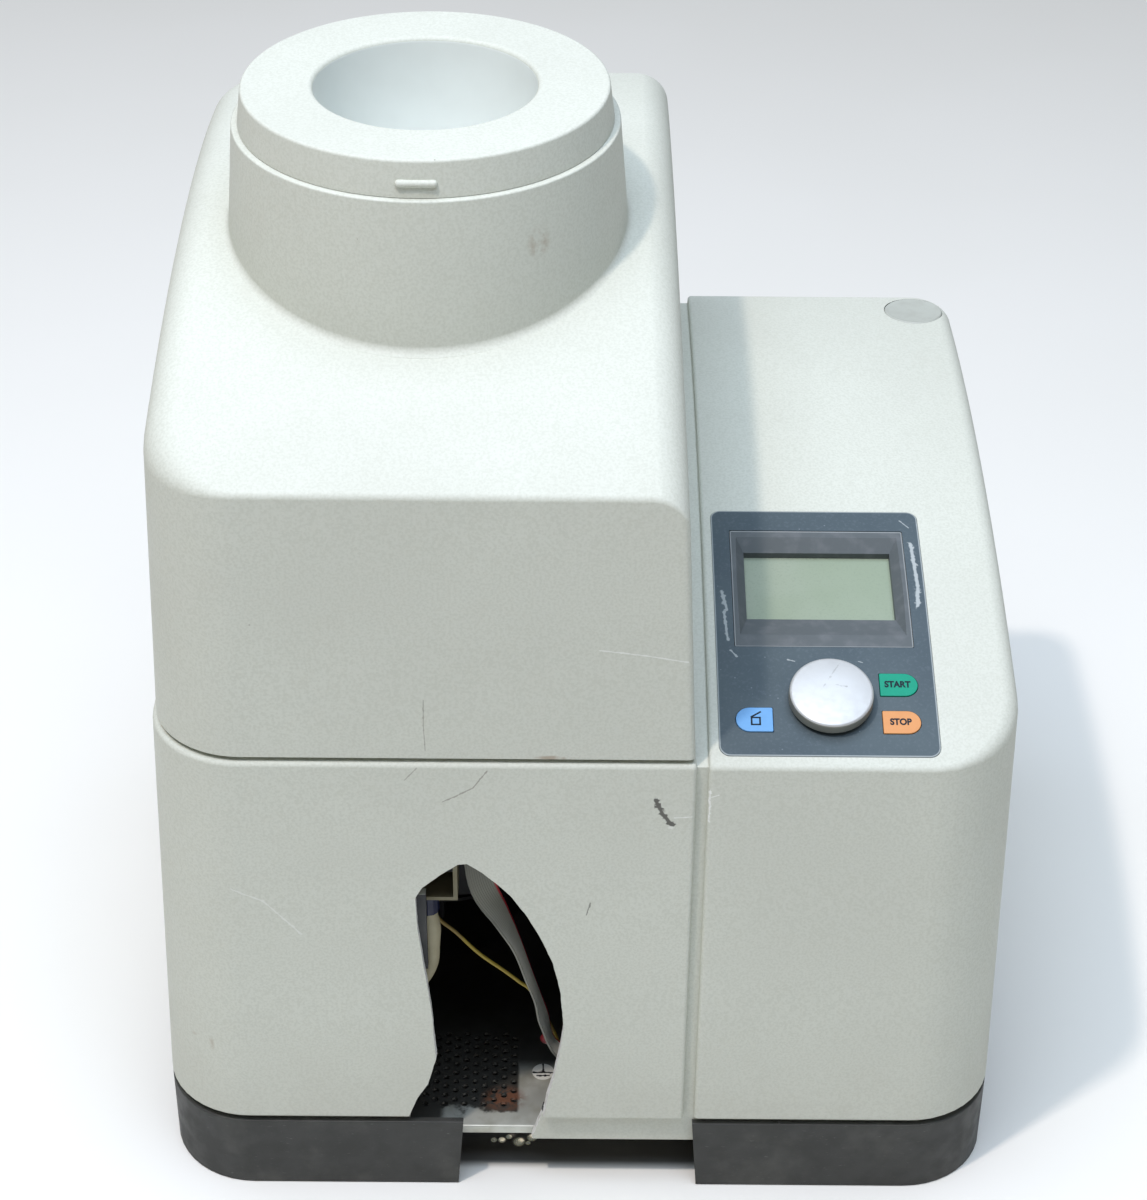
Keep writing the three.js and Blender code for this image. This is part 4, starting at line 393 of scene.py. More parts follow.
def swept(name, route, section, sideways=(0, 1, 0)):
    """A closed section carried along a route. Its first axis is square to the route and as near as can be to
    sideways, which may be one direction or one for each place. Its second is square to both."""
    along = np.gradient(route, axis=0)
    along /= np.linalg.norm(along, axis=1, keepdims=True)
    wish = np.asarray(sideways, float) + 0 * along
    first = wish - np.sum(wish * along, axis=1, keepdims=True) * along
    first /= np.linalg.norm(first, axis=1, keepdims=True)
    second = np.cross(along, first)
    section = np.asarray(section, float)
    if section.ndim == 2:
        section = np.broadcast_to(section, (len(route),) + section.shape)
    points = route[:, None] + section[..., 0:1] * first[:, None] + section[..., 1:2] * second[:, None]
    ends = np.concatenate([points.mean(axis=1)[:1], points.mean(axis=1)[-1:]])
    n, m = points.shape[:2]
    around = np.arange(m)
    following = np.roll(around, -1)
    first_cap = np.stack([following, around, np.full(m, n * m), np.full(m, n * m)], axis=-1)
    last_cap = np.stack([around, following, np.full(m, 1), np.full(m, 1)], axis=-1) + (n - 1) * m
    last_cap[:, 2:] = n * m + 1
    faces = np.concatenate([strip_faces(n, m, False, True), first_cap, last_cap])
    obj = mesh_object(name, np.concatenate([points.reshape(-1, 3), ends]), faces)
    return closed(obj)


def ring_section(radius, sides=20):
    u = np.linspace(0, 2 * math.pi, sides, endpoint=False)
    return np.stack([radius * np.cos(u), radius * np.sin(u)], axis=-1)


made = []


def dress(obj, body, slot, finishes, *nodes, angle=38.0, weighted=True):
    """Smooth shading up to an angle, the finish, the body that the piece rides on and the nodes it replaces."""
    obj.data.shade_smooth()
    obj.data.set_sharp_from_angle(angle=math.radians(angle))
    obj.data.materials.clear()
    for finish in finishes if isinstance(finishes, (list, tuple)) else [finishes]:
        obj.data.materials.append(finish)
    if weighted:
        steady = obj.modifiers.new("steady_normals", "WEIGHTED_NORMAL")
        steady.keep_sharp, steady.weight = True, 60
    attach(obj, body)
    if nodes:
        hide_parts(*nodes)
    made.append(obj.name)
    print(obj.name, len(obj.data.polygons), "faces")
    return obj


# %% [markdown]
# ## Finishes
# A finish is a Principled shader with a few texture nodes in front of it. They all read Object coordinates,
# so a pattern keeps its real size on every piece. The small class below keeps each finish to a few lines.

# %% A small kit for finishes
class Finish:
    """A Principled material. Its methods add texture nodes and return their output sockets."""

    def __init__(self, name, colour, roughness, metallic=0.0, specular=0.5):
        self.material = bpy.data.materials.new(name)
        self.material.use_nodes = True
        self.tree = self.material.node_tree
        self.surface = self.tree.nodes["Principled BSDF"]
        self.colour = (*colour, 1.0)
        self.set(self.surface, {"Base Color": self.colour, "Roughness": roughness, "Metallic": metallic,
                                "Specular IOR Level": specular})
        self.material.diffuse_color = self.colour
        self.place = self.add("ShaderNodeTexCoord").outputs["Object"]

    def connect(self, socket, value):
        """Links the value if it is another node's output, and sets it on the socket if it is a constant."""
        if isinstance(value, bpy.types.NodeSocket):
            self.tree.links.new(value, socket)
        else:
            socket.default_value = value

    def set(self, node, inputs):
        for name, value in inputs.items():
            self.connect(node.inputs[name], value)

    def add(self, kind, inputs=None, **settings):
        node = self.tree.nodes.new(kind)
        for name, value in settings.items():
            setattr(node, name, value)
        self.set(node, inputs or {})
        return node

    def noise(self, scale, detail=3.0, roughness=0.55, stretch=None):
        """Cloudy noise between 0 and 1. scale is in spots per metre; stretch multiplies the axes."""
        place = self.place
        if stretch:
            place = self.add("ShaderNodeMapping", {"Vector": place, "Scale": stretch}).outputs["Vector"]
        return self.add("ShaderNodeTexNoise", {"Vector": place, "Scale": scale, "Detail": detail,
                                               "Roughness": roughness}).outputs["Fac"]

    def cells(self, scale):
        """Distance to the nearest of many scattered points."""
        return self.add("ShaderNodeTexVoronoi", {"Vector": self.place, "Scale": scale}).outputs["Distance"]

    def between(self, value, low, high, to_low=0.0, to_high=1.0):
        """Maps a range of a value smoothly onto another range."""
        return self.add("ShaderNodeMapRange", {"Value": value, "From Min": low, "From Max": high,
                                               "To Min": to_low, "To Max": to_high},
                        interpolation_type="SMOOTHSTEP").outputs["Result"]

    def math(self, operation, first, second=0.0):
        node = self.add("ShaderNodeMath", operation=operation)
        for socket, value in zip(node.inputs, (first, second)):
            self.connect(socket, value)
        return node.outputs[0]

    def axis(self, name):
        """One coordinate of the place, in metres."""
        return self.add("ShaderNodeSeparateXYZ", {"Vector": self.place}).outputs[name]

    def spot(self, centre, size):
        """1 at a centre, falling to 0 at a size from it along each axis. Both are in millimetres."""
        offset = self.add("ShaderNodeVectorMath", {0: self.place, 1: tuple(c * MM for c in centre)},
                          operation="SUBTRACT").outputs[0]
        scaled = self.add("ShaderNodeVectorMath", {0: offset, 1: tuple(1 / (s * MM) for s in size)},
                          operation="MULTIPLY").outputs[0]
        far = self.add("ShaderNodeVectorMath", {0: scaled}, operation="LENGTH").outputs["Value"]
        return self.between(far, 0.35, 1.0, 1.0, 0.0)

    def stroke(self, points, width):
        """1 along a line through points, in millimetres, falling to 0 at half its width. The distance from a
        place p to the stretch from a to b is |p - a - t(b - a)|, with t = (p - a).(b - a)/|b - a|^2 held
        between 0 and 1. A little noise makes the line ragged."""
        nearest = None
        for a, b in zip(np.array(points[:-1]) * MM, np.array(points[1:]) * MM):
            span = b - a
            offset = self.add("ShaderNodeVectorMath", {0: self.place, 1: tuple(a)},
                              operation="SUBTRACT").outputs[0]
            t = self.add("ShaderNodeVectorMath", {0: offset, 1: tuple(span / (span @ span))},
                         operation="DOT_PRODUCT").outputs["Value"]
            held = self.add("ShaderNodeClamp", {"Value": t}).outputs[0]
            foot = self.add("ShaderNodeVectorMath", {0: tuple(span), "Scale": held}, operation="SCALE").outputs[0]
            rest = self.add("ShaderNodeVectorMath", {0: offset, 1: foot}, operation="SUBTRACT").outputs[0]
            far = self.add("ShaderNodeVectorMath", {0: rest}, operation="LENGTH").outputs["Value"]
            nearest = far if nearest is None else self.math("MINIMUM", nearest, far)
        ragged = self.math("MULTIPLY", nearest, self.between(self.noise(420.0, 3.0), 0.3, 0.7, 0.6, 1.9))
        return self.between(ragged, 0.25 * width * MM, 0.5 * width * MM, 1.0, 0.0)

    def rim(self, x0, x1, y0, y1, corner, width):
        """1 within a width of the edge of a rounded rectangle seen from above, in millimetres. Inside it, the
        edge lies at |max(q, 0)| + min(max(q), 0) - r, where q = |p - centre| - half the size + r."""
        centre = ((x0 + x1) / 2 * MM, (y0 + y1) / 2 * MM, 0.0)
        reach = ((x1 - x0) / 2 * MM - corner * MM, (y1 - y0) / 2 * MM - corner * MM, 1.0)
        offset = self.add("ShaderNodeVectorMath", {0: self.place, 1: centre}, operation="SUBTRACT").outputs[0]
        size = self.add("ShaderNodeVectorMath", {0: offset}, operation="ABSOLUTE").outputs[0]
        q = self.add("ShaderNodeVectorMath", {0: size, 1: reach}, operation="SUBTRACT").outputs[0]
        parts = self.add("ShaderNodeSeparateXYZ", {"Vector": q}).outputs
        outside = self.add("ShaderNodeVectorMath", {0: q, 1: (0.0, 0.0, 0.0)}, operation="MAXIMUM").outputs[0]
        away = self.add("ShaderNodeVectorMath", {0: outside}, operation="LENGTH").outputs["Value"]
        inside = self.math("MINIMUM", self.math("MAXIMUM", parts[0], parts[1]), 0.0)
        depth = self.math("ADD", away, inside)
        return self.between(depth, (corner - 1.3 * width) * MM, (corner - 0.7 * width) * MM)

    def tint(self, factor, colour, strength):
        """Lays a colour over the finish where the factor is high."""
        if strength != 1.0:
            factor = self.math("MULTIPLY", factor, strength)
        under = self.surface.inputs["Base Color"]
        first = under.links[0].from_socket if under.is_linked else self.colour
        mix = self.add("ShaderNodeMix", data_type="RGBA")
        for socket, value in ((mix.inputs[0], factor), (mix.inputs[6], first), (mix.inputs[7], (*colour, 1.0))):
            self.connect(socket, value)
        self.tree.links.new(mix.outputs[2], under)
        return self

    def rough(self, value, low, high):
        """Roughness that follows a texture between two values."""
        self.set(self.surface, {"Roughness": self.between(value, 0.3, 0.7, low, high)})
        return self

    def bump(self, height, depth, strength=0.6):
        """Raises the surface by a depth, in millimetres, where the height is high."""
        normal = self.surface.inputs["Normal"]
        inputs = {"Height": height, "Distance": depth * MM, "Strength": strength}
        if normal.is_linked:
            inputs["Normal"] = normal.links[0].from_socket
        self.tree.links.new(self.add("ShaderNodeBump", inputs).outputs["Normal"], normal)
        return self


# %% [markdown]
# ## The housing's paint
# The housing is moulded in grey plastic with a structured paint: a fine pebble grain that scatters light.
# It carries brownish dust low down and in patches, and small dark specks.

# %% Housing paint
BROWN = (0.30, 0.20, 0.12)
SMUDGE = (0.20, 0.18, 0.15)
DARK = (0.045, 0.040, 0.035)
PALE = (0.86, 0.87, 0.85)


def housing_paint(name, stains=(), marks=()):
    """The paint with its own stains, which are soft spots, and marks, which are ragged lines."""
    paint = Finish(name, (0.60, 0.615, 0.545), 0.62, specular=0.35)
    paint.tint(paint.between(paint.noise(9.0, 4.0), 0.35, 0.7), (0.64, 0.66, 0.585), 0.6)
    paint.tint(paint.between(paint.noise(26.0, 5.0, 0.65), 0.58, 0.78), (0.52, 0.505, 0.43), 0.16)
    paint.tint(paint.between(paint.noise(820.0, 2.0), 0.38, 0.66), (0.49, 0.505, 0.43), 0.42)
    low = paint.between(paint.axis("Z"), 0.13, 0.02, 0.0, 1.0)
    paint.tint(paint.math("MULTIPLY", low, paint.noise(40.0, 4.0)), (0.45, 0.44, 0.38), 0.5)
    specks = paint.between(paint.cells(34.0), 0.017, 0.009, 0.0, 1.0)
    paint.tint(paint.math("MULTIPLY", specks, paint.between(paint.noise(17.0), 0.48, 0.60)), SMUDGE, 0.8)
    for centre, size, colour, strength in stains:
        ragged = paint.between(paint.noise(160.0, 4.0), 0.38, 0.62)
        paint.tint(paint.math("MULTIPLY", paint.spot(centre, size), ragged), colour, strength)
    for points, width, colour, strength in marks:
        paint.tint(paint.stroke(points, width), colour, strength)
    paint.rough(paint.noise(30.0, 3.0), 0.55, 0.70)
    paint.bump(paint.noise(820.0, 2.0, 0.6), 0.16, 0.6)
    paint.bump(paint.noise(14.0, 2.0), 0.5, 0.25)
    return paint.material


def on_front(*places):
    """Places on the lower casing's front, given by x and z."""
    return [(x, casing_front(z), z) for x, z in places]


def on_hood(*places):
    """Places on the hood's front, given by x and z."""
    return [(x, hood_front(z), z) for x, z in places]


HOOD_STAINS = [
    ((-20.9, -81.8, 472.7), (7, 7, 9), BROWN, 0.5),
    (on_hood((-12.6, 265.4))[0], (11, 3, 1.6), BROWN, 0.6),
    ((-182.4, -172.0, 396.3), (3, 8, 1.6), SMUDGE, 0.6),
]
HOOD_MARKS = [
    (on_hood((-70.5, 296.4), (-70.8, 282.7), (-70.3, 268.9)), 0.7, SMUDGE, 0.55),
    (on_hood((6.7, 323.9), (26.2, 321.4), (45.7, 317.9)), 1.0, PALE, 0.5),
]
CASING_STAINS = [
    (on_front((-187.0, 92.0))[0], (2.5, 16, 2.0), BROWN, 0.5),
    (on_front((-188.4, 69.0))[0], (2.5, 16, 4.0), BROWN, 0.5),
    (on_front((-178.0, 90.0))[0], (2.0, 10, 6.0), BROWN, 0.35),
    (on_front((40.6, 227.6))[0], (2.4, 3, 1.5), PALE, 0.9),
]
CASING_MARKS = [
    (on_front((-42.9, 258.9), (-49.3, 249.4), (-56.9, 244.8), (-63.2, 241.4)), 1.0, SMUDGE, 0.6),
    (on_front((-74.4, 260.2), (-79.9, 253.5)), 0.8, SMUDGE, 0.5),
    (on_front((4.1, 183.0), (2.3, 175.8)), 1.0, DARK, 0.6),
    (on_front((32.8, 243.4), (36.4, 235.0), (40.4, 229.5)), 3.6, DARK, 0.85),
    (on_front((57.0, 249.2), (57.0, 231.1)), 2.0, PALE, 0.8),
    (on_front((56.9, 244.7), (61.3, 246.4)), 0.7, PALE, 0.6),
    (on_front((51.0, 234.0), (41.6, 233.3)), 0.7, PALE, 0.6),
    (on_front((-161.7, 189.5), (-147.2, 182.6), (-130.6, 163.0)), 1.3, PALE, 0.35),
]
hood_paint = housing_paint("hood_paint", HOOD_STAINS, HOOD_MARKS)
casing_paint = housing_paint("casing_paint", CASING_STAINS, CASING_MARKS)
# The inside faces get a near-black finish: painted shade, for the shade inside the housing.
inside_shade = Finish("inside_painted_shade", (0.035, 0.036, 0.038), 0.75)
inside_shade.tint(inside_shade.between(inside_shade.noise(40.0), 0.4, 0.7), (0.07, 0.07, 0.068), 0.8)
inside_shade.bump(inside_shade.noise(900.0), 0.08)
raw_plastic = Finish("raw_plastic", (0.80, 0.80, 0.77), 0.7, specular=0.3)
raw_plastic.tint(raw_plastic.between(raw_plastic.noise(300.0, 5.0), 0.45, 0.65), (0.58, 0.57, 0.52), 0.7)
raw_plastic.bump(raw_plastic.noise(500.0, 5.0, 0.7), 0.5, 0.8)
# Finish numbers: the paint, the painted shade inside and the raw plastic of the torn edge.
PAINTED = 0
SHADED_INSIDE = 1
BROKEN = 2

# %% [markdown]
# ## Hood shell
# The hood is one moulding: leaning walls, a top that arches from front to back, a broad roll along both sides
# and a tall collar round the hopper. The left roll follows the wide corners, but the right one runs straight
# out through the front, so it belongs to the top surface itself. The shell is the outer form less an inner one.


# %% Hood shell
def hood_crown(inset):
    """The top over x and y: the arch less the roll towards the right wall, r - sqrt(r^2 - (r - d)^2) at the
    distance d from that wall."""
    roll = HOOD_ROLL - inset

    def height(x, y):
        arch = hood_arch(y) - inset
        d = np.clip(hood_right(arch - roll) - inset - x, 0, roll)
        return arch - (roll - np.sqrt(np.maximum(roll**2 - (roll - d)**2, 0)))
    return height


def hood_form(name, inset, bottom):
    walls = (lambda z: hood_left(z) + inset, lambda z: hood_right(z) - inset,
             lambda z: hood_front(z) + inset, lambda z: hood_back(z) - inset)
    roll = HOOD_ROLL - inset
    share = roll / (HOOD_RIGHT + WIDTH / 2)
    across = np.concatenate([np.linspace(0, 1 - share, 28)[:-1],
                             1 - share * (1 - np.cos(np.linspace(math.pi / 2, 0, 12)))])
    radii = (CORNER - inset, HOOD_CRISP, CORNER - inset, HOOD_CRISP)
    rolls = (roll, 0.0, HOOD_END_ROLL)
    return body_form(name, walls, hood_crown(inset), flat(bottom), radii, rolls, 26, across, 9)


COLLAR_BASE, COLLAR_TOP_RADIUS, COLLAR_TOP, COLLAR_BORE, COLLAR_ROOT = 92.8, 87.4, 498.3, 83.2, 432.0
COLLAR_FILLET = 3.0
COLLAR_EDGE = 0.8


def collar_solid(name, segments=256):
    """A cone whose foot follows the hood's top: the angle u runs round, and the levels run from inside the
    hood up a quarter-round fillet, up the cone, round the upper edge and in to the axis."""
    u = np.linspace(0, 2 * math.pi, segments, endpoint=False)[:, None]
    slope = (COLLAR_BASE - COLLAR_TOP_RADIUS) / (COLLAR_TOP - COLLAR_ROOT)

    def cone(z):
        return COLLAR_BASE - slope * (z - COLLAR_ROOT)
    crown = hood_crown(0.0)
    turn_up = np.linspace(0, math.pi / 2, 8)[None, :]
    r_fillet = COLLAR_BASE + COLLAR_FILLET * (1 - np.sin(turn_up)) + 0 * u
    foot = crown(AXIS[0] + r_fillet * np.cos(u), AXIS[1] + r_fillet * np.sin(u))
    z_fillet = foot + COLLAR_FILLET * (1 - np.cos(turn_up))
    r_fillet += cone(z_fillet) - COLLAR_BASE
    edge = np.linspace(0, math.pi / 2, 5)[None, :] + 0 * u
    z_edge = COLLAR_TOP - COLLAR_EDGE * (1 - np.sin(edge))
    r_edge = COLLAR_TOP_RADIUS - COLLAR_EDGE * (1 - np.cos(edge))
    inside = foot[:, :1] - WALL / 2
    axis = 0 * u
    z = np.concatenate([inside, inside, z_fillet, z_edge, axis + COLLAR_TOP], axis=1)
    r = np.concatenate([axis, r_fillet[:, :1] + 0.5, r_fillet, r_edge, axis], axis=1)
    z[:, 0] = HOOD_FRONT_HEIGHT
    z[:, 2] = inside[:, 0] + WALL / 2 - 0.02
    points = np.stack([AXIS[0] + r * np.cos(u), AXIS[1] + r * np.sin(u), z], axis=-1)
    return closed(mesh_object(name, points, strip_faces(segments, r.shape[1], True, True)))


def face_values(obj):
    """Centres, in millimetres, and normals of an object's faces."""
    faces = obj.data.polygons
    values = np.zeros((2, len(faces) * 3))
    faces.foreach_get("center", values[0])
    faces.foreach_get("normal", values[1])
    return values[0].reshape(-1, 3) / MM, values[1].reshape(-1, 3)


def number_finishes(obj, index):
    """Gives each face the finish that has its number in the object's list."""
    obj.data.polygons.foreach_set("material_index", np.asarray(index).astype(np.int32))


def shade_inside(obj, middle_of, top_of):
    """Gives the dark inside finish, which is painted shade, to the faces that look towards the middle of their
    housing, unless they stand above its top."""
    centres, normals = face_values(obj)
    outwards = np.sum((centres - middle_of(centres)) * normals, axis=1) > 0
    above = centres[:, 2] > top_of(centres[:, 0], centres[:, 1]) - 1.0
    number_finishes(obj, np.where(outwards | above, PAINTED, SHADED_INSIDE))


hood = hood_form("hood_shell_moulding", 0.0, HOOD_BOTTOM)
boolean(hood, "UNION", collar_solid("collar"))
bore = cylinder("bore", COLLAR_BORE, HOOD_FRONT_HEIGHT - OVERRUN, HEIGHT + OVERRUN, segments=256)
boolean(hood, "DIFFERENCE", hood_form("hood_hollow", WALL, HOOD_BOTTOM - OVERRUN), bore)
dress(hood, "hood", "housing_paint", [hood_paint, inside_shade.material], "hood_shell")
hood_middle = np.array([HOOD_RIGHT - WIDTH / 2, 0.0, HOOD_BOTTOM + HOOD_FRONT_HEIGHT]) / 2
# The hood's inner faces get the painted shade.
shade_inside(hood, lambda centres: hood_middle, hood_crown(0.0))

# %% [markdown]
# ## Hopper insert
# The insert stands in the collar on a spigot. Its top is flat, its mouth is rounded, and below it a bowl
# narrows to the feed throat. A small raised bar at the front shows how it is turned. It is one turned
# profile, with the bar joined on.

# %% Hopper insert
HOPPER_FOOT, HOPPER_TOP, HOPPER_EDGE = 84.5, 82.6, 1.4
MOUTH, MOUTH_ROUND, BOWL_WALL, THROAT, THROAT_TOP, THROAT_BOTTOM = 50.0, 2.5, 3.0, 17.0, 415.0, 336.0
SPIGOT_DEPTH, SPIGOT_WALL, PLATE = 20.0, 3.4, 4.5
BAR_LENGTH, BAR_HEIGHT, BAR_PROUD, BAR_DROP = 18.0, 3.2, 1.0, 10.0


def bowl_curve(mouth, throat, high, low, steps=24):
    """The bowl's side: (1-t)^2 A + 2t(1-t) B + t^2 C from the mouth A to the throat C, with B on the chord's
    outer side, so that the wall is steep above and flatter below."""
    t = np.linspace(0, 1, steps)[:, None]
    start, end = np.array([mouth, high]), np.array([throat, low])
    knee = np.array([0.80 * mouth + 0.20 * throat, 0.30 * high + 0.70 * low])
    return (1 - t)**2 * start + 2 * t * (1 - t) * knee + t**2 * end


def hopper_profile():
    foot, spigot, under = COLLAR_TOP + GAP, COLLAR_BORE - GAP, HEIGHT - PLATE
    edge = np.linspace(0, math.pi / 2, 6)
    outer_edge = np.stack([HOPPER_TOP - HOPPER_EDGE * (1 - np.cos(edge)),
                           HEIGHT - HOPPER_EDGE * (1 - np.sin(edge))], axis=-1)
    mouth_edge = np.stack([MOUTH + MOUTH_ROUND * (1 - np.sin(edge)),
                           HEIGHT - MOUTH_ROUND * (1 - np.cos(edge))], axis=-1)
    outer_bowl = bowl_curve(MOUTH + BOWL_WALL, THROAT + BOWL_WALL, under, THROAT_TOP - BOWL_WALL)[::-1]
    spigot_end = foot - SPIGOT_DEPTH
    return np.concatenate([
        [[THROAT, THROAT_BOTTOM], [THROAT + BOWL_WALL, THROAT_BOTTOM]],
        outer_bowl,
        [[spigot - SPIGOT_WALL, under], [spigot - SPIGOT_WALL, spigot_end], [spigot, spigot_end]],
        [[spigot, foot], [HOPPER_FOOT, foot]],
        outer_edge,
        mouth_edge,
        bowl_curve(MOUTH, THROAT, HEIGHT - MOUTH_ROUND, THROAT_TOP)[1:],
    ])


def pill(name, half_length, half_height, out, back):
    """A bar with round ends. Its outline is a stadium, and towards the front it shrinks by 1 - cos v while
    it comes out by sin v, as v goes from 0 to a right angle."""
    u = np.linspace(0, 2 * math.pi, 48, endpoint=False)
    straight = (half_length - half_height) * np.sign(np.cos(u))
    v = np.concatenate([[0.0], np.linspace(0, math.pi / 2, 8)])[:, None]
    shrink = half_height * np.cos(v)
    depth = out * np.sin(v)
    depth[0] = -back
    points = np.stack([straight + shrink * np.cos(u), -depth + 0 * u, shrink * np.sin(u)], axis=-1)
    cap = np.array([[0.0, back, 0.0]]) + 0 * points[:1]
    front = points[-1:] * np.array([0.0, 1.0, 0.0])
    points = np.concatenate([cap, points, front])
    return closed(mesh_object(name, points, strip_faces(len(points), len(u), False, True)))


hopper_paint = housing_paint("hopper_paint")
# The bowl's inside gets a paler finish than the paint outside: painted light on its wall.
bowl_light_look = Finish("bowl_painted_light", (0.74, 0.775, 0.74), 0.5)
bowl_light_look.tint(bowl_light_look.between(bowl_light_look.noise(20.0, 4.0), 0.4, 0.7), (0.68, 0.715, 0.68), 0.6)
bowl_light_look.bump(bowl_light_look.noise(700.0, 2.0), 0.03, 0.4)
hopper = turned("hopper_moulding", hopper_profile(), 224)
bar_height = HEIGHT - BAR_DROP
bar = pill("bar", BAR_LENGTH / 2, BAR_HEIGHT / 2, BAR_PROUD + 0.6, 3.0)
bar_place = np.eye(4)
bar_place[:3, 3] = (AXIS[0], AXIS[1] - HOPPER_FOOT + 0.6, bar_height)
boolean(hopper, "UNION", moved(bar, bar_place))
dress(hopper, "hopper", "housing_paint", [hopper_paint, bowl_light_look.material], "hopper_insert")
centres, _ = face_values(hopper)
in_bowl = np.hypot(centres[:, 0] - AXIS[0], centres[:, 1] - AXIS[1]) < MOUTH + 0.2
in_bowl &= centres[:, 2] > THROAT_TOP
number_finishes(hopper, in_bowl)

# %% [markdown]
# ## Lower casing
# The lower casing is a single moulding: the milling side with its flat deck, the electronics side with the
# arched panel, and a groove between them. Its front is broken out. The hole's edge is a short list of
# points, roughened by noise, and it opens outwards low down, where white torn plastic shows.

# %% Lower casing
BREAK_LEFT, BREAK_RIGHT, BREAK_TOP = -85.0, -7.9, 205.4
BREAK_SHARES = np.array([
    [0.42, 1], [0.502, 0.974], [0.59, 0.938], [0.678, 0.895], [0.768, 0.831], [0.857, 0.753],
    [0.93, 0.667], [0.979, 0.562], [1, 0.436], [0.97, 0.344], [0.933, 0.251], [0.89, 0.175],
    [0.857, 0.094], [0.8, 0.013], [0.78, -0.08], [0.05, -0.08], [0.02, 0.06], [0.028, 0.094],
    [0.084, 0.168], [0.152, 0.225], [0.208, 0.317], [0.193, 0.409], [0.18, 0.501], [0.161, 0.592],
    [0.135, 0.682], [0.112, 0.787], [0.106, 0.885], [0.144, 0.919], [0.265, 0.966], [0.367, 0.999],
])


def side_form(name, inset, bottom, milling):
    """One side of the casing: the milling side with its flat deck, or the electronics side with its arch."""
    front, back = (lambda z: casing_front(z) + inset), (lambda z: casing_back(z) - inset)
    big, rear = CORNER - inset, REAR_RIGHT_CORNER - inset
    if milling:
        walls = (lambda z: casing_left(z) + inset, flat(GROOVE_LEFT - inset), front, back)
        return body_form(name, walls, flat(SEAM - inset), flat(bottom), (big, EDGE, big, EDGE), (EDGE,) * 3, 3)
    walls = (flat(GROOVE_RIGHT + inset), lambda z: casing_right(z) - inset, front, back)
    rolls = (EDGE, EDGE if inset else PANEL_ROLL, EDGE if inset else PANEL_FRONT_ROLL)
    return body_form(name, walls, lambda x, y: panel_top(y) - inset + 0 * x, flat(bottom),
                     (EDGE, big, EDGE, rear), rolls, 26, np.linspace(0, 1, 21), 8)


def groove_web(name, inset, bottom):
    """The web joins the two sides, a little lower and further back than their faces."""
    walls = (flat(GROOVE_LEFT - WALL + inset), flat(GROOVE_RIGHT + GROOVE_FLANK + inset),
             lambda z: casing_front(z) + GROOVE_DEPTH + inset, lambda z: casing_back(z) - GROOVE_DEPTH - inset)
    return body_form(name, walls, lambda x, y: panel_top(y) - GROOVE_DEPTH - inset + 0 * x, flat(bottom),
                     (0.0,) * 4, rows=26)


def lip_form(name, inset, bottom, top, roll=0.0):
    walls = (flat(-WIDTH / 2 + inset), flat(WIDTH / 2 - inset), flat(-DEPTH / 2 + inset),
             flat(DEPTH / 2 - inset))
    radii = (CORNER - inset,) * 3 + (REAR_RIGHT_CORNER - inset,)
    return body_form(name, walls, flat(top), flat(bottom), radii, (roll,) * 3)


def tube_of(outer, inner):
    return boolean(outer, "DIFFERENCE", inner)


def coaming_form(name, inset, bottom, top):
    walls = (flat(casing_left(SEAM) + inset), flat(HOOD_RIGHT - inset), flat(casing_front(SEAM) + inset),
             flat(casing_back(SEAM) - inset))
    radii = (CORNER - inset, HOOD_CRISP, CORNER - inset, HOOD_CRISP)
    return body_form(name, walls, flat(top), flat(bottom), radii)


def resampled(corners, spacing):
    """Points at an even spacing along a closed outline."""
    loop = np.concatenate([corners, corners[:1]])
    travel = np.concatenate([[0], np.cumsum(np.linalg.norm(np.diff(loop, axis=0), axis=1))])
    at = np.linspace(0, travel[-1], int(travel[-1] / spacing), endpoint=False)
    return np.stack([np.interp(at, travel, loop[:, k]) for k in (0, 1)], axis=-1)


def rough_noise(count, seed, octaves=(3, 7, 15, 31, 60)):
    """A closed noise of a few waves, each with its own phase, about half as high as the one before."""
    chance = np.random.default_rng(seed)
    u = np.linspace(0, 2 * math.pi, count, endpoint=False)
    waves = [np.sin(k * u + chance.uniform(0, 2 * math.pi)) / (i + 1)**0.9
             for i, k in enumerate(np.array(octaves) * 3 + chance.integers(0, 3, len(octaves)))]
    return np.sum(waves, axis=0) / len(octaves)


def break_cutter(name):
    """The hole's outline carried through the wall. Each level has its own roughness, and towards the outside
    the outline grows by a flare that is largest near the foot."""
    size = np.array([BREAK_RIGHT - BREAK_LEFT, BREAK_TOP - LIP_BOTTOM])
    corners = np.array([BREAK_LEFT, LIP_BOTTOM]) + BREAK_SHARES * size
    line = resampled(corners, 0.9)
    along = np.roll(line, -1, axis=0) - np.roll(line, 1, axis=0)
    out = np.stack([-along[:, 1], along[:, 0]], axis=-1)
    out /= np.linalg.norm(out, axis=1, keepdims=True)
    out *= 0.5
    for _ in range(3):
        out = (np.roll(out, 1, axis=0) + 2 * out + np.roll(out, -1, axis=0)) / 4
    out /= np.linalg.norm(out, axis=1, keepdims=True)
    front = -DEPTH / 2
    levels = np.array([-OVERRUN, -1.0, 0.5, 2.0, 3.5, 5.0, 6.5, 8.5, OVERRUN])
    flare = np.clip((110 - line[:, 1]) / 90, 0.05, 1)
    rings = []
    for k, y in enumerate(levels):
        open_share = np.clip((5.5 - y) / 5.5, 0, 1)
        ragged = 0.42 * rough_noise(len(line), 5) + 0.22 * rough_noise(len(line), 40 + k)
        offset = (1.7 * flare * open_share + ragged)[:, None]
        ring = line + out * offset
        rings.append(np.stack([ring[:, 0], np.full(len(line), front + y), ring[:, 1]], axis=-1))
    points = np.concatenate([[np.mean(rings[0], axis=0) + 0 * rings[0]], rings,
                             [np.mean(rings[-1], axis=0) + 0 * rings[-1]]])
    return closed(mesh_object(name, points, strip_faces(len(points), len(line), False, True)))


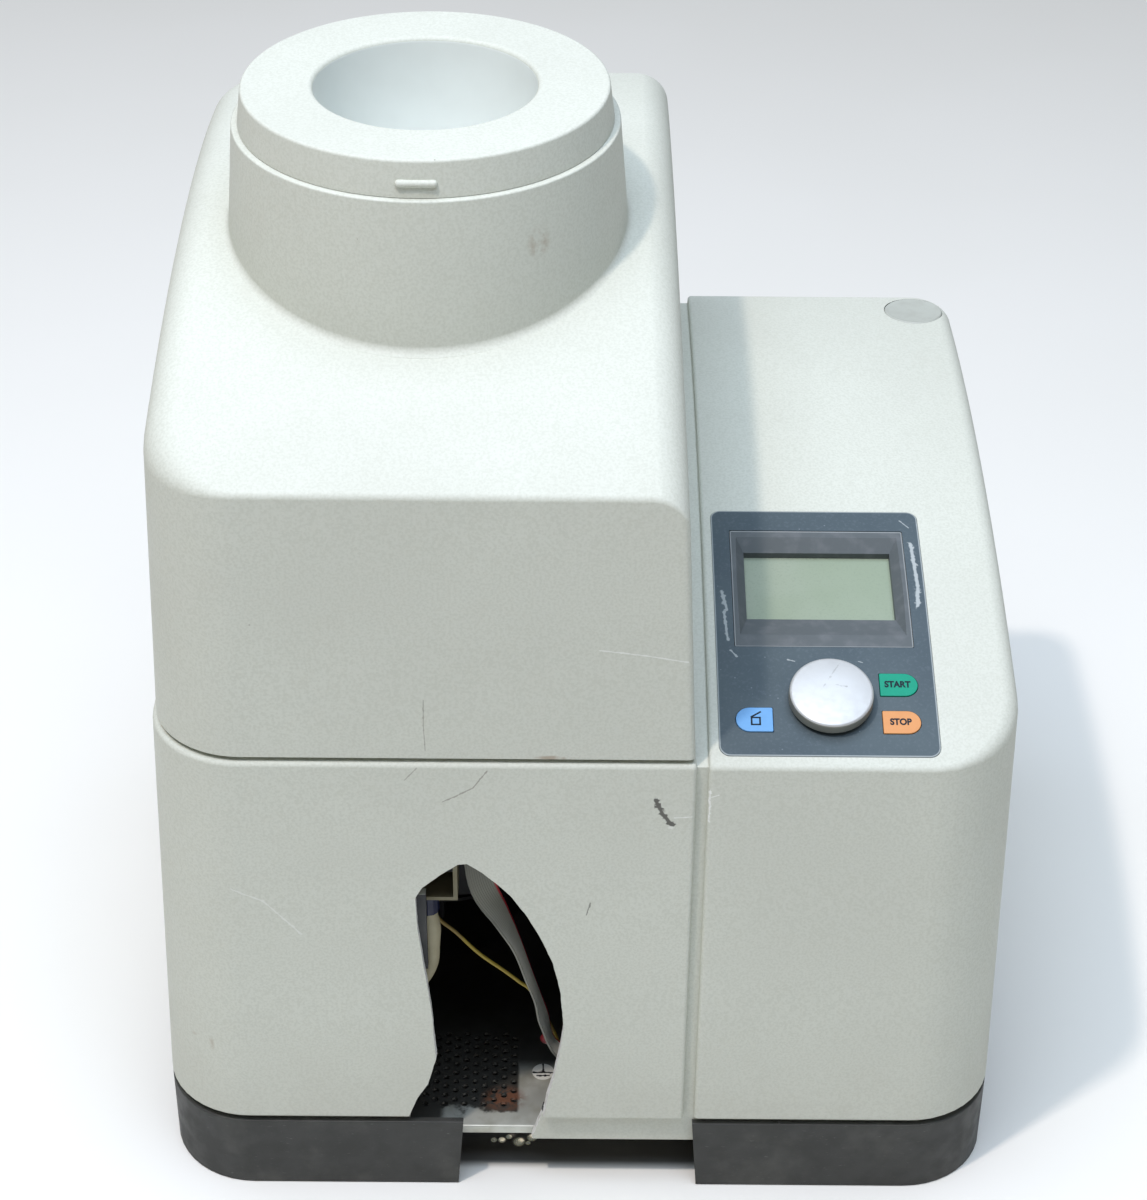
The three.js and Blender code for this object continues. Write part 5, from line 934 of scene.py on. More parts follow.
def panel_frame(x, y):
    """A place on the control panel: its height, and the angle at which the panel rises there."""
    slope = float(panel_top(y + 1.0) - panel_top(y - 1.0)) / 2.0
    angle = math.atan(slope)
    matrix = np.eye(4)
    matrix[1, 1], matrix[1, 2] = math.cos(angle), -math.sin(angle)
    matrix[2, 1], matrix[2, 2] = math.sin(angle), math.cos(angle)
    matrix[:3, 3] = (x, y, float(panel_top(y)))
    return matrix


LABEL_LEFT, LABEL_RIGHT, LABEL_FRONT, LABEL_BACK = 61.2, 160.6, -172.1, -28.8
LABEL_CORNER, LABEL_THICKNESS, LABEL_PROUD = 5.0, 0.8, 0.2
BEZEL = (70.0, 152.5, -115.0, -41.5)
BEZEL_DROP, BEZEL_DEPTH, BEZEL_CORNER = 5.0, 12.0, 0.8
LCD_WIDTH, LCD_LENGTH, LCD_X, LCD_SHIFT, LCD_RECESS = 69.8, 42.5, 111.4, 5.0, 3.5
KNOB_X, KNOB_Y, KNOB_RADIUS, KNOB_HEIGHT, KNOB_CROWN, KNOB_GAP = 112.3, -144.0, 19.2, 7.0, 1.2, 2.2
ENCODER_HOLE = 6.0
KEYS = {
    "lid_key": (69.0, 85.8, -160.4, -147.3, -1),
    "start_key": (135.3, 152.7, -141.3, -128.6, 1),
    "stop_key": (135.5, 152.7, -160.9, -148.6, 1),
}
KEY_THICKNESS, KEY_PROUD, KEY_EDGE = 2.2, 0.5, 0.35
SOCKET_X, SOCKET_Y, CAP_RADIUS, CAP_THICKNESS = 177.8, 158.0, 15.4, 3.0
SOCKET_OUTER = 14.2


def panel_layer(name, margin, low, high, roll=0.0):
    """A rounded rectangle that follows the panel's arch between two heights over it."""
    walls = (flat(LABEL_LEFT - margin), flat(LABEL_RIGHT + margin), flat(LABEL_FRONT - margin),
             flat(LABEL_BACK + margin))
    return body_form(name, walls, lambda x, y: panel_top(y) + high + 0 * x,
                     lambda x, y: panel_top(y) + low + 0 * x, (LABEL_CORNER + margin,) * 4, (roll,) * 3,
                     40, np.linspace(0, 1, 13), 3)


def key_form(name, key, margin, low, high, roll=0.0):
    """A key's outline, round on one side, between two heights in the panel's tilted frame."""
    x0, x1, y0, y1, side = key
    x, y = (x0 + x1) / 2, (y0 + y1) / 2
    half_x, half_y = (x1 - x0) / 2 + margin, (y1 - y0) / 2 + margin
    near, far = half_y - 0.02, 0.6
    radii = (near, far, near, far) if side < 0 else (far, near, far, near)
    walls = (flat(-half_x), flat(half_x), flat(-half_y), flat(half_y))
    obj = body_form(name, walls, flat(high), flat(low), radii, (roll,) * 3, 1, np.linspace(0, 1, 5), 4)
    return moved(obj, panel_frame(x, y))


def bezel_form(name, margin, low, high):
    x0, x1, y0, y1 = BEZEL
    half_x, half_y = (x1 - x0) / 2 + margin, (y1 - y0) / 2 + margin
    obj = block(name, -half_x, half_x, -half_y, half_y, low, high, BEZEL_CORNER)
    return moved(obj, panel_frame((x0 + x1) / 2, (y0 + y1) / 2))


def panel_round(name, radius, low, high, x, y, segments=96):
    return moved(cylinder(name, radius, low, high, (0.0, 0.0), segments), panel_frame(x, y))


def panel_holes(margin):
    tools = [key_form("key_hole", key, margin, -OVERRUN / 2, OVERRUN / 4) for key in KEYS.values()]
    tools.append(bezel_form("bezel_hole", margin, -OVERRUN, OVERRUN))
    tools.append(panel_round("knob_hole", ENCODER_HOLE, -OVERRUN, OVERRUN / 4, KNOB_X, KNOB_Y))
    return tools


HINGE_PLACES, HINGE_HALF, POCKET_FRONT, POCKET_FLOOR = (-140.0, 5.0), 16.6, 158.0, 245.0
LOCK_HALF, LOCK_FRONT, LOCK_BACK = 17.0, -167.0, -156.0
REAR_OPENING = (74.0, 178.0, 66.0, 196.0)
GRILLE_OPENING = (-150.0, 24.0, 70.0, 190.0)
CHAMBER_RADIUS = 100.0


def rear_cutter(name, opening):
    """An opening in the back wall: a block with rounded corners, laid on its side."""
    x0, x1, z0, z1 = opening
    obj = block(name, x0 - GAP, x1 + GAP, z0 - GAP, z1 + GAP, -OVERRUN, OVERRUN, 4.3)
    tilt = np.eye(4)
    tilt[1, 1], tilt[1, 2], tilt[2, 1], tilt[2, 2] = 0, -1, 1, 0
    tilt[1, 3] = DEPTH / 2
    return moved(obj, tilt)


RIB = (-86.0, -72.3, -176.0, -171.5, 138.0, 184.0)
casing = side_form("lower_casing_moulding", 0.0, FACE_BOTTOM, True)
boolean(casing, "UNION", side_form("electronics_side", 0.0, FACE_BOTTOM, False),
        groove_web("web", 0.0, FACE_BOTTOM))
deep = FACE_BOTTOM - OVERRUN
boolean(casing, "DIFFERENCE", side_form("milling_hollow", WALL, deep, True),
        side_form("electronics_hollow", WALL, deep, False), groove_web("web_hollow", WALL, deep))
lip = tube_of(lip_form("lip", LIP_INSET, LIP_BOTTOM, FACE_BOTTOM + WALL),
              lip_form("lip_hollow", LIP_INSET + LIP_WALL, LIP_BOTTOM - OVERRUN, FACE_BOTTOM + OVERRUN))
coaming_inset = HOOD_SET_BACK + WALL + 1.5
coaming = tube_of(coaming_form("coaming", coaming_inset, SEAM - WALL / 2, SEAM + 5.0),
                  coaming_form("coaming_hollow", coaming_inset + 2.5, SEAM - OVERRUN, SEAM + OVERRUN))
pocket_walls = [block("pocket_wall", x - HINGE_HALF - WALL, x + HINGE_HALF + WALL, POCKET_FRONT - WALL,
                      casing_back(SEAM) - WALL / 2, POCKET_FLOOR - WALL, SEAM - WALL / 2)
                for x in HINGE_PLACES]
boolean(casing, "UNION", lip, coaming, *pocket_walls)
pockets = [block("pocket", x - HINGE_HALF, x + HINGE_HALF, POCKET_FRONT, DEPTH / 2 + OVERRUN, POCKET_FLOOR,
                 SEAM + OVERRUN) for x in HINGE_PLACES]
slot = block("lock_slot", AXIS[0] - LOCK_HALF, AXIS[0] + LOCK_HALF, LOCK_FRONT, LOCK_BACK,
             SEAM - OVERRUN, SEAM + OVERRUN, 1.5)
boolean(casing, "DIFFERENCE", *pockets, slot,
        cylinder("chamber_hole", CHAMBER_RADIUS + GAP, SEAM - OVERRUN, SEAM + OVERRUN))
boolean(casing, "DIFFERENCE", break_cutter("break"),
        panel_layer("film_pocket", GAP, LABEL_PROUD - LABEL_THICKNESS - GAP, OVERRUN), *panel_holes(GAP))
boolean(casing, "DIFFERENCE",
        panel_round("socket_hole", SOCKET_OUTER + GAP, -OVERRUN, OVERRUN, SOCKET_X, SOCKET_Y),
        panel_round("cap_seat", CAP_RADIUS + GAP, -CAP_THICKNESS, OVERRUN, SOCKET_X, SOCKET_Y),
        rear_cutter("rear_cut", REAR_OPENING), rear_cutter("grille_cut", GRILLE_OPENING))
boolean(casing, "UNION", block("rib", *RIB))


def casing_middle(centres):
    """The middle of the side that each place belongs to, left or right of the groove."""
    on_panel = centres[:, 0] > (GROOVE_LEFT + GROOVE_RIGHT) / 2
    x = np.where(on_panel, (GROOVE_RIGHT + WIDTH / 2) / 2, (GROOVE_LEFT - WIDTH / 2) / 2)
    return np.stack([x, 0 * x, 0 * x + SEAM / 2], axis=-1)


def casing_top(x, y):
    return np.where(x > (GROOVE_LEFT + GROOVE_RIGHT) / 2, panel_top(y), SEAM)


def mark_broken(obj):
    """Gives the faces of the torn edge, which lie between the outer and inner face, the raw plastic."""
    centres, _ = face_values(obj)
    x, y, z = centres.T
    index = np.zeros(len(centres), np.int32)
    obj.data.polygons.foreach_get("material_index", index)
    near = (x > BREAK_LEFT - 4) & (x < BREAK_RIGHT + 4) & (z < BREAK_TOP + 4) & (y < -DEPTH / 2 + 12)
    wall = np.where(z < FACE_BOTTOM, -DEPTH / 2 + LIP_INSET, casing_front(z))
    thick = np.where(z < FACE_BOTTOM, LIP_WALL, WALL)
    torn = near & (y - wall > 0.06) & (y - wall < thick - 0.06) & (z > LIP_BOTTOM + 0.05)
    on_rib = (np.abs(x - RIB[1]) < 0.05) | ((np.abs(y - RIB[2]) < 0.05) & (x > RIB[0]))
    index[torn] = BROKEN
    # The rib's faces beside the hole get the dark inside finish: painted shade.
    index[near & on_rib] = SHADED_INSIDE
    number_finishes(obj, index)
    print("torn faces", int(torn.sum()))


dress(casing, "base", "housing_paint", [casing_paint, inside_shade.material, raw_plastic.material],
      "lower_casing")
# The casing's inner faces get the painted shade.
shade_inside(casing, casing_middle, casing_top)
mark_broken(casing)

# %% [markdown]
# ## Control label and display
# The label is a printed film in a shallow recess. It is cut out for the display window, the knob and the
# three keys. Its colour is a dark slate with worn, paler patches.

# %% Control label
def on_label(*places):
    """Places on the label, given by x and y."""
    return [(x, y, float(panel_top(y)) + LABEL_PROUD) for x, y in places]


LABEL_SCRATCHES = [
    (on_label((156.3, -50.4), (157.4, -77.3), (156.5, -89.5)), 3.0, 0.75),
    (on_label((152.3, -34.9), (156.2, -39.6)), 0.8, 0.6),
    (on_label((65.0, -82.5), (67.0, -92.8)), 2.6, 0.6),
    (on_label((65.5, -94.0), (66.8, -110.2)), 1.8, 0.6),
    (on_label((68.0, -116.4), (70.6, -119.8)), 1.2, 0.6),
    (on_label((93.9, -121.3), (97.1, -122.3)), 0.8, 0.6),
    (on_label((126.5, -122.1), (128.3, -122.7)), 0.8, 0.6),
]
film = Finish("label_film", (0.074, 0.100, 0.116), 0.5, specular=0.16)
film.tint(film.between(film.noise(16.0, 3.0), 0.35, 0.7), (0.092, 0.122, 0.136), 0.8)
film.tint(film.between(film.noise(700.0, 3.0), 0.5, 0.7), (0.13, 0.16, 0.185), 0.35)
film.tint(film.between(film.cells(120.0), 0.055, 0.03, 0.0, 1.0), (0.35, 0.40, 0.45), 0.35)
# A pale line along the label's edge: a painted highlight.
film.tint(film.rim(LABEL_LEFT, LABEL_RIGHT, LABEL_FRONT, LABEL_BACK, LABEL_CORNER, 0.55),
          (0.42, 0.46, 0.46), 0.7)
for points, width, strength in LABEL_SCRATCHES:
    film.tint(film.stroke(points, width), (0.50, 0.54, 0.54), strength)
film.rough(film.noise(60.0, 4.0), 0.46, 0.60)
film.bump(film.noise(1600.0, 2.0), 0.03, 0.4)
label = panel_layer("control_film", 0.0, LABEL_PROUD - LABEL_THICKNESS, LABEL_PROUD, 0.15)
boolean(label, "DIFFERENCE", *panel_holes(GAP))
dress(label, "base", "label_film", film.material, "control_label")

# %% Display bezel and window
BEZEL_Y = [(BEZEL[2] + BEZEL[3]) / 2 + sign * (BEZEL[3] - BEZEL[2]) / 2 * panel_frame(0, -78.0)[1, 1]
           for sign in (-1, 1)]
bezel_grey = Finish("bezel_plastic", (0.105, 0.120, 0.126), 0.55, specular=0.25)
bezel_grey.tint(bezel_grey.between(bezel_grey.noise(120.0, 4.0), 0.45, 0.7), (0.16, 0.17, 0.18), 0.5)
# A pale line along the bezel's outer edge: a painted highlight.
bezel_grey.tint(bezel_grey.rim(BEZEL[0], BEZEL[1], BEZEL_Y[0], BEZEL_Y[1], BEZEL_CORNER, 0.5),
                (0.36, 0.38, 0.38), 0.6)
bezel_grey.tint(bezel_grey.stroke([(125.2, -56.7, 291.2), (128.7, -60.5, 291.2)], 6.0), (0.5, 0.5, 0.5), 0.5)
bezel_grey.bump(bezel_grey.noise(1500.0), 0.03)


def funnel(name, low, high, z0, z1):
    """A solid between two rectangles at two heights."""
    def corners(rectangle, z):
        x0, x1, y0, y1 = rectangle
        return [[x0, y0, z], [x1, y0, z], [x1, y1, z], [x0, y1, z]]
    points = np.array(corners(low, z0) + corners(high, z1))
    return mesh_object(name, points, BOX_FACES)


BEZEL_CENTRE = ((BEZEL[0] + BEZEL[1]) / 2, (BEZEL[2] + BEZEL[3]) / 2)
BEZEL_RIM = 1.5
bezel_place = panel_frame(*BEZEL_CENTRE)
half_x, half_y = (BEZEL[1] - BEZEL[0]) / 2, (BEZEL[3] - BEZEL[2]) / 2
shift = LCD_X - BEZEL_CENTRE[0]
glass_edge = (shift - LCD_WIDTH / 2, shift + LCD_WIDTH / 2,
              LCD_SHIFT - LCD_LENGTH / 2, LCD_SHIFT + LCD_LENGTH / 2)
mouth = (-half_x + BEZEL_RIM, half_x - BEZEL_RIM, -half_y + BEZEL_RIM, half_y - BEZEL_RIM)
bezel = bezel_form("display_frame", 0.0, -BEZEL_DEPTH, OVERRUN / 4)
boolean(bezel, "INTERSECT", panel_layer("bezel_top", 3.0, -OVERRUN, 0.0))
spread = BEZEL_RIM * 1.5 / BEZEL_DROP
wide = (mouth[0] - spread, mouth[1] + spread, mouth[2] - spread, mouth[3] + spread)
boolean(bezel, "DIFFERENCE", moved(funnel("window", glass_edge, wide, -BEZEL_DROP, 1.5), bezel_place),
        moved(funnel("well", glass_edge, glass_edge, -OVERRUN, -BEZEL_DROP + 0.5), bezel_place))
dress(bezel, "base", "bezel_grey", bezel_grey.material, "display_bezel", angle=20)

glass = Finish("display_window", (0.285, 0.345, 0.255), 0.22, specular=0.5)
glass.tint(glass.between(glass.noise(22.0, 2.0), 0.35, 0.75), (0.34, 0.39, 0.31), 0.7)
glass.tint(glass.between(glass.noise(900.0, 2.0), 0.5, 0.7), (0.25, 0.30, 0.23), 0.35)
glass.bump(glass.noise(40.0, 2.0), 0.02, 0.2)
glass_top = -BEZEL_DROP - LCD_RECESS
window = funnel("display_glass", glass_edge, glass_edge, glass_top - 4.0, glass_top)
dress(moved(window, bezel_place), "base", "display_glass", glass.material, "lcd_module")

# %% [markdown]
# ## Knob and keys
# The knob is a turned cap with a satin silver face. It is scratched right across. The keys are
# printed domes: one has a pictogram of an open box, the others say START and STOP.

# %% Knob
KNOB_FACE = float(panel_top(KNOB_Y)) + LABEL_PROUD + KNOB_GAP + KNOB_HEIGHT
KNOB_SLOPE = float(panel_top(KNOB_Y + 1.0) - panel_top(KNOB_Y - 1.0)) / 2.0


def on_knob(*places):
    """Places on the knob's face, given by x and y."""
    return [(x, y, KNOB_FACE + KNOB_SLOPE * (y - KNOB_Y)) for x, y in places]


silver = Finish("knob_silver", (0.55, 0.56, 0.555), 0.5, metallic=0.4)
silver.tint(silver.between(silver.noise(60.0, 4.0), 0.4, 0.7), (0.51, 0.52, 0.515), 0.6)
silver.tint(silver.stroke(on_knob((105.8, -148.7), (109.0, -144.5), (113.2, -137.5), (120.7, -125.5)), 1.0),
            (0.35, 0.35, 0.33), 0.6)
silver.tint(silver.stroke(on_knob((114.7, -143.9), (119.1, -144.9)), 1.2), (0.30, 0.30, 0.28), 0.7)
silver.rough(silver.noise(300.0, 3.0), 0.42, 0.55)
silver.bump(silver.noise(900.0, 3.0), 0.02, 0.4)
KNOB_EDGE = 1.6
low = LABEL_PROUD + KNOB_GAP
high = low + KNOB_HEIGHT
rise = np.linspace(0, 1, 14)
crown_line = np.stack([(KNOB_RADIUS - KNOB_EDGE) * rise, high - KNOB_CROWN * rise**2.5], axis=-1)
round_edge = np.linspace(0, math.pi / 2, 7)[1:]
edge_line = np.stack([KNOB_RADIUS - KNOB_EDGE * (1 - np.sin(round_edge)),
                      high - KNOB_CROWN - KNOB_EDGE * (1 - np.cos(round_edge))], axis=-1)
KNOB_BORE, KNOB_ROOF = 3.1, 4.4
knob_line = np.concatenate([
    crown_line, edge_line,
    [[KNOB_RADIUS, low + 0.4], [KNOB_RADIUS - 0.4, low], [KNOB_RADIUS - KNOB_EDGE, low]],
    [[KNOB_RADIUS - KNOB_EDGE, low + KNOB_EDGE], [KNOB_BORE + KNOB_EDGE, low + KNOB_EDGE]],
    [[KNOB_BORE + KNOB_EDGE, low], [KNOB_BORE, low], [KNOB_BORE, high - KNOB_ROOF], [0, high - KNOB_ROOF]],
])
# The upright side gets a darker copy of the silver: a painted reflection of the dark label round it.
knob_side_reflection = Finish("knob_side_reflection", (0.25, 0.255, 0.225), 0.5, metallic=0.3)
knob_side_reflection.tint(knob_side_reflection.between(knob_side_reflection.noise(90.0, 4.0), 0.4, 0.7), (0.20, 0.20, 0.175), 0.6)
knob_side_reflection.bump(knob_side_reflection.noise(900.0, 3.0), 0.02, 0.4)
knob = turned("knob_cap", knob_line, 160, (0.0, 0.0))
centres, normals = face_values(knob)
upright = (np.hypot(centres[:, 0], centres[:, 1]) > KNOB_RADIUS - 1.0) & (np.abs(normals[:, 2]) < 0.5)
moved(knob, panel_frame(KNOB_X, KNOB_Y))
dress(knob, "knob", "knob_silver", [silver.material, knob_side_reflection.material], "control_knob", angle=30)
number_finishes(knob, upright)

# %% Keys
def key_finish(name, colour, dark):
    finish = Finish(name, colour, 0.5, specular=0.25)
    finish.tint(finish.between(finish.noise(150.0, 3.0), 0.4, 0.7), dark, 0.35)
    finish.bump(finish.noise(1600.0, 2.0), 0.02, 0.4)
    return finish.material


KEY_LOOKS = {
    "lid_key": ("lid_button", "key_blue", (0.155, 0.37, 0.68), (0.13, 0.32, 0.60)),
    "start_key": ("start_button", "key_green", (0.004, 0.29, 0.18), (0.003, 0.25, 0.155)),
    "stop_key": ("stop_button", "key_orange", (0.66, 0.30, 0.115), (0.60, 0.26, 0.10)),
}
ink = Finish("key_ink", (0.012, 0.02, 0.03), 0.6, specular=0.15)
ink.tint(ink.between(ink.noise(900.0, 3.0), 0.5, 0.7), (0.03, 0.045, 0.055), 0.6)
KEY_TOP = LABEL_PROUD + KEY_PROUD
for key_name, (body, slot_name, colour, dark) in KEY_LOOKS.items():
    cap = key_form(key_name + "_cap", KEYS[key_name], 0.0, KEY_TOP - KEY_THICKNESS, KEY_TOP, KEY_EDGE)
    dress(cap, body, slot_name, key_finish(key_name + "_plastic", colour, dark), key_name)


WORD_SIZE, LETTER_WIDTH, INK_PROUD = 4.7, 0.86, 0.03


def lift(height):
    """A placement that raises a piece by a height."""
    matrix = np.eye(4)
    matrix[2, 3] = height
    return matrix


def lettering(name, text, size, key):
    """A word as a thin solid on a key, laid in the panel's tilted frame."""
    curve = bpy.data.curves.new(name, "FONT")
    curve.body, curve.size = text, size * MM
    curve.align_x, curve.align_y = "CENTER", "CENTER"
    curve.extrude, curve.offset = 0.04 * MM, 0.20 * MM
    words = bpy.data.objects.new(name + "_curve", curve)
    bpy.context.scene.collection.objects.link(words)
    mesh = bpy.data.meshes.new_from_object(words.evaluated_get(bpy.context.evaluated_depsgraph_get()))
    bpy.data.objects.remove(words)
    obj = bpy.data.objects.new(name, mesh)
    bpy.context.scene.collection.objects.link(obj)
    x0, x1, y0, y1, side = key
    place = panel_frame((x0 + x1) / 2 - 0.6 * side, (y0 + y1) / 2) @ lift(KEY_TOP + INK_PROUD)
    return moved(obj, place @ np.diag([LETTER_WIDTH, 1.0, 1.0, 1.0]))


for key_name, word in (("start_key", "START"), ("stop_key", "STOP")):
    body = KEY_LOOKS[key_name][0]
    dress(lettering(key_name + "_word", word, WORD_SIZE, KEYS[key_name]), body, KEY_LOOKS[key_name][1],
          ink.material, weighted=False)


def box_pictogram(name, key):
    """A square box outline with its lid raised, as four thin bars and a slanted one."""
    thin, size = 0.8, 3.8
    bars = [
        ((-size / 2, -size / 2), (size / 2, -size / 2)), ((-size / 2, size / 2), (size / 2, size / 2)),
        ((-size / 2, -size / 2), (-size / 2, size / 2)), ((size / 2, -size / 2), (size / 2, size / 2)),
        ((-size / 2, size / 2 + 0.4), (size / 2 + 0.2, size / 2 + 3.0)),
    ]
    points, faces = [], []
    for (xa, ya), (xb, yb) in bars:
        a, b = np.array([xa, ya]), np.array([xb, yb])
        along = (b - a) / np.linalg.norm(b - a) * thin / 2
        across = np.array([-along[1], along[0]])
        outline = np.array([a - along - across, b + along - across, b + along + across, a - along + across])
        start = 8 * len(faces)
        points.append(np.concatenate([np.c_[outline, np.full(4, -0.04)], np.c_[outline, np.full(4, 0.04)]]))
        faces.append(BOX_FACES + start)
    obj = mesh_object(name, np.concatenate(points), np.concatenate(faces))
    x0, x1, y0, y1, _ = key
    return moved(obj, panel_frame((x0 + x1) / 2 + 0.6, (y0 + y1) / 2 - 0.9) @ lift(KEY_TOP + INK_PROUD))


dress(box_pictogram("lid_key_sign", KEYS["lid_key"]), "lid_button", "key_blue", ink.material, weighted=False)

# %% [markdown]
# ## Cap and skirts
# The cap closes the stand's socket at the back of the panel. The skirts are dark plastic strips round the
# foot of the housing, with paler scuffs.

# %% Socket cap
cap_grey = Finish("cap_plastic", (0.45, 0.47, 0.42), 0.55)
cap_grey.tint(cap_grey.between(cap_grey.noise(120.0, 4.0), 0.4, 0.7), (0.38, 0.39, 0.345), 0.5)
cap_grey.bump(cap_grey.noise(1200.0), 0.04)
CAP_PLUG = 8.0
cap_line = [[0, -0.2], [CAP_RADIUS - 2.2, -0.2], [CAP_RADIUS - 1.7, 0.15], [CAP_RADIUS - 0.5, 0.15],
            [CAP_RADIUS, -0.3], [CAP_RADIUS, GAP - CAP_THICKNESS], [11.7, GAP - CAP_THICKNESS],
            [11.7, -CAP_THICKNESS - CAP_PLUG], [9.7, -CAP_THICKNESS - CAP_PLUG], [9.7, -CAP_THICKNESS], [0, -3.0]]
cap = moved(turned("stand_cap", cap_line, 96, (0.0, 0.0)), panel_frame(SOCKET_X, SOCKET_Y))
dress(cap, "cap", "cap_grey", cap_grey.material, "socket_cap")

# %% Skirts
skirt_grey = Finish("skirt_plastic", (0.042, 0.043, 0.040), 0.58, specular=0.35)
skirt_grey.tint(skirt_grey.between(skirt_grey.noise(35.0, 5.0), 0.5, 0.75), (0.085, 0.085, 0.077), 0.6)
skirt_grey.tint(skirt_grey.between(skirt_grey.noise(240.0, 5.0, 0.7, (1.0, 1.0, 5.0)), 0.62, 0.74),
                (0.22, 0.22, 0.21), 0.45)
skirt_grey.rough(skirt_grey.noise(90.0, 4.0), 0.45, 0.65)
skirt_grey.bump(skirt_grey.noise(1300.0, 3.0), 0.08, 0.5)
SKIRT_TOP, SKIRT_BOTTOM, HEEL_TOP, HEEL_DEPTH = 42.5, 0.6, 26.0, 11.0
SKIRT_LEFT_END, SKIRT_RIGHT_END, END_SLANT, SKIRT_EDGE = -55.5, 54.1, 4.0, 0.8


def skirt_cutter(name, side, end):
    """Everything past a skirt's slanted end, which leans out towards the foot."""
    far = side * WIDTH
    slant = END_SLANT * (SKIRT_TOP + OVERRUN) / (SKIRT_TOP - SKIRT_BOTTOM)
    outline = np.array([[end, SKIRT_TOP + OVERRUN], [end + side * slant, SKIRT_BOTTOM - OVERRUN],
                        [far, SKIRT_BOTTOM - OVERRUN], [far, SKIRT_TOP + OVERRUN]])
    rings = [np.stack([outline[:, 0], np.full(4, y), outline[:, 1]], axis=-1) for y in (-DEPTH, DEPTH)]
    return closed(mesh_object(name, np.concatenate(rings), BOX_FACES))


def skirt_band(name):
    inner = LIP_INSET - GAP
    band = tube_of(lip_form(name, 0.0, SKIRT_BOTTOM, SKIRT_TOP, SKIRT_EDGE),
                   lip_form("band_hollow", inner, SKIRT_BOTTOM - OVERRUN, SKIRT_TOP + OVERRUN))
    heel = tube_of(lip_form("heel", inner / 2, SKIRT_BOTTOM, HEEL_TOP),
                   lip_form("heel_hollow", HEEL_DEPTH, SKIRT_BOTTOM - OVERRUN, HEEL_TOP + OVERRUN))
    return boolean(band, "UNION", heel)


for side, end, node in ((-1, SKIRT_LEFT_END, "left_skirt"), (1, SKIRT_RIGHT_END, "right_skirt")):
    strip = skirt_band(node + "_strip")
    boolean(strip, "INTERSECT", skirt_cutter("skirt_end", side, end))
    dress(strip, "base", "skirt_plastic", skirt_grey.material, node)

# %% [markdown]
# ## Base tray
# The tray is a pan of galvanised sheet under the whole machine. Where the skirt has gone, its bright front
# bend and its flange show. Behind them are rows of air holes, with rust round the front ones. Further back and at
# the left the sheet carries painted shade and some grime.

# %% Base tray
tray_zinc = Finish("tray_zinc", (0.60, 0.61, 0.55), 0.42, metallic=0.35)
tray_zinc.tint(tray_zinc.between(tray_zinc.cells(90.0), 0.1, 0.7), (0.45, 0.46, 0.41), 0.7)
tray_zinc.tint(tray_zinc.between(tray_zinc.noise(60.0, 5.0), 0.45, 0.7), (0.36, 0.35, 0.27), 0.6)
TRAY_TOP, TRAY_SHEET, TRAY_FLANGE = 33.0, 1.5, 28.5
# Dark at the left and behind the front band: painted shade, with some grime.
shade_and_grime = tray_zinc.math("MAXIMUM", tray_zinc.between(tray_zinc.axis("X"), -0.0295, -0.0315),
                      tray_zinc.between(tray_zinc.axis("Y"), -0.138, -0.128))
edge = tray_zinc.between(tray_zinc.noise(90.0, 4.0), 0.3, 0.7, -0.004, 0.004)
shade_and_grime = tray_zinc.math("MULTIPLY", shade_and_grime, tray_zinc.between(tray_zinc.math("ADD", tray_zinc.axis("Y"), edge),
                                                          -0.167, -0.163))
shade_and_grime = tray_zinc.math("MAXIMUM", shade_and_grime, tray_zinc.between(tray_zinc.axis("X"), -0.066, -0.070))
tray_zinc.tint(shade_and_grime, (0.030, 0.028, 0.024), 0.92)
rust_place = tray_zinc.spot((-37.5, -156.5, TRAY_TOP), (14, 11, 20))
rusty = tray_zinc.between(tray_zinc.noise(260.0, 5.0), 0.34, 0.54)
tray_zinc.tint(tray_zinc.math("MULTIPLY", rust_place, rusty), (0.23, 0.10, 0.055), 0.9)
tray_zinc.rough(tray_zinc.noise(80.0, 4.0), 0.30, 0.55)
tray_zinc.bump(tray_zinc.noise(150.0, 4.0), 0.10, 0.5)
VENT_RADIUS, VENT_X, VENT_Y, VENT_COLUMNS, VENT_ROWS = 1.65, 9.8, 3.1, 8, 17
VENT_LEFT, VENT_FRONT = -106.4, -160.5


def vent_pins(name):
    """All the air holes as one mesh of pins: a grid of places whose odd rows are shifted by half a pitch."""
    row, column, u = np.meshgrid(np.arange(VENT_ROWS), np.arange(VENT_COLUMNS), np.arange(16), indexing="ij")
    turn_u = u * math.pi / 8
    x = VENT_LEFT + VENT_X * (column + (row % 2) / 2) + VENT_RADIUS * np.cos(turn_u)
    y = VENT_FRONT + VENT_Y * row + VENT_RADIUS * np.sin(turn_u)
    rings = np.stack([x, y, 0 * x], axis=-1).reshape(-1, 1, 16, 3)
    levels = np.array([TRAY_TOP - 6, TRAY_TOP + 6]).reshape(1, 2, 1)
    pins = np.repeat(rings, 2, axis=1)
    pins[..., 2] = levels
    count = len(pins)
    starts = (np.arange(count) * 32)[:, None, None]
    sides = (strip_faces(2, 16, False, True)[None] + starts).reshape(-1, 4)
    obj = mesh_object(name, pins.reshape(-1, 3), sides)
    work = bmesh.new()
    work.from_mesh(obj.data)
    bmesh.ops.holes_fill(work, edges=work.edges, sides=16)
    bmesh.ops.recalc_face_normals(work, faces=work.faces)
    work.to_mesh(obj.data)
    work.free()
    return obj


TRAY_EDGE = LIP_INSET + LIP_WALL + GAP
tray = lip_form("tray_pan", TRAY_EDGE, TRAY_FLANGE, TRAY_TOP, 1.2)
hollow = lip_form("tray_hollow", TRAY_EDGE + TRAY_SHEET, TRAY_FLANGE - OVERRUN, TRAY_TOP - TRAY_SHEET)
boolean(tray, "DIFFERENCE", hollow, vent_pins("vents"),
        cylinder("air_hole", 40.0, TRAY_TOP - OVERRUN, TRAY_TOP + OVERRUN))
dress(tray, "base", "galvanised_sheet", tray_zinc.material, "base_tray", angle=30)

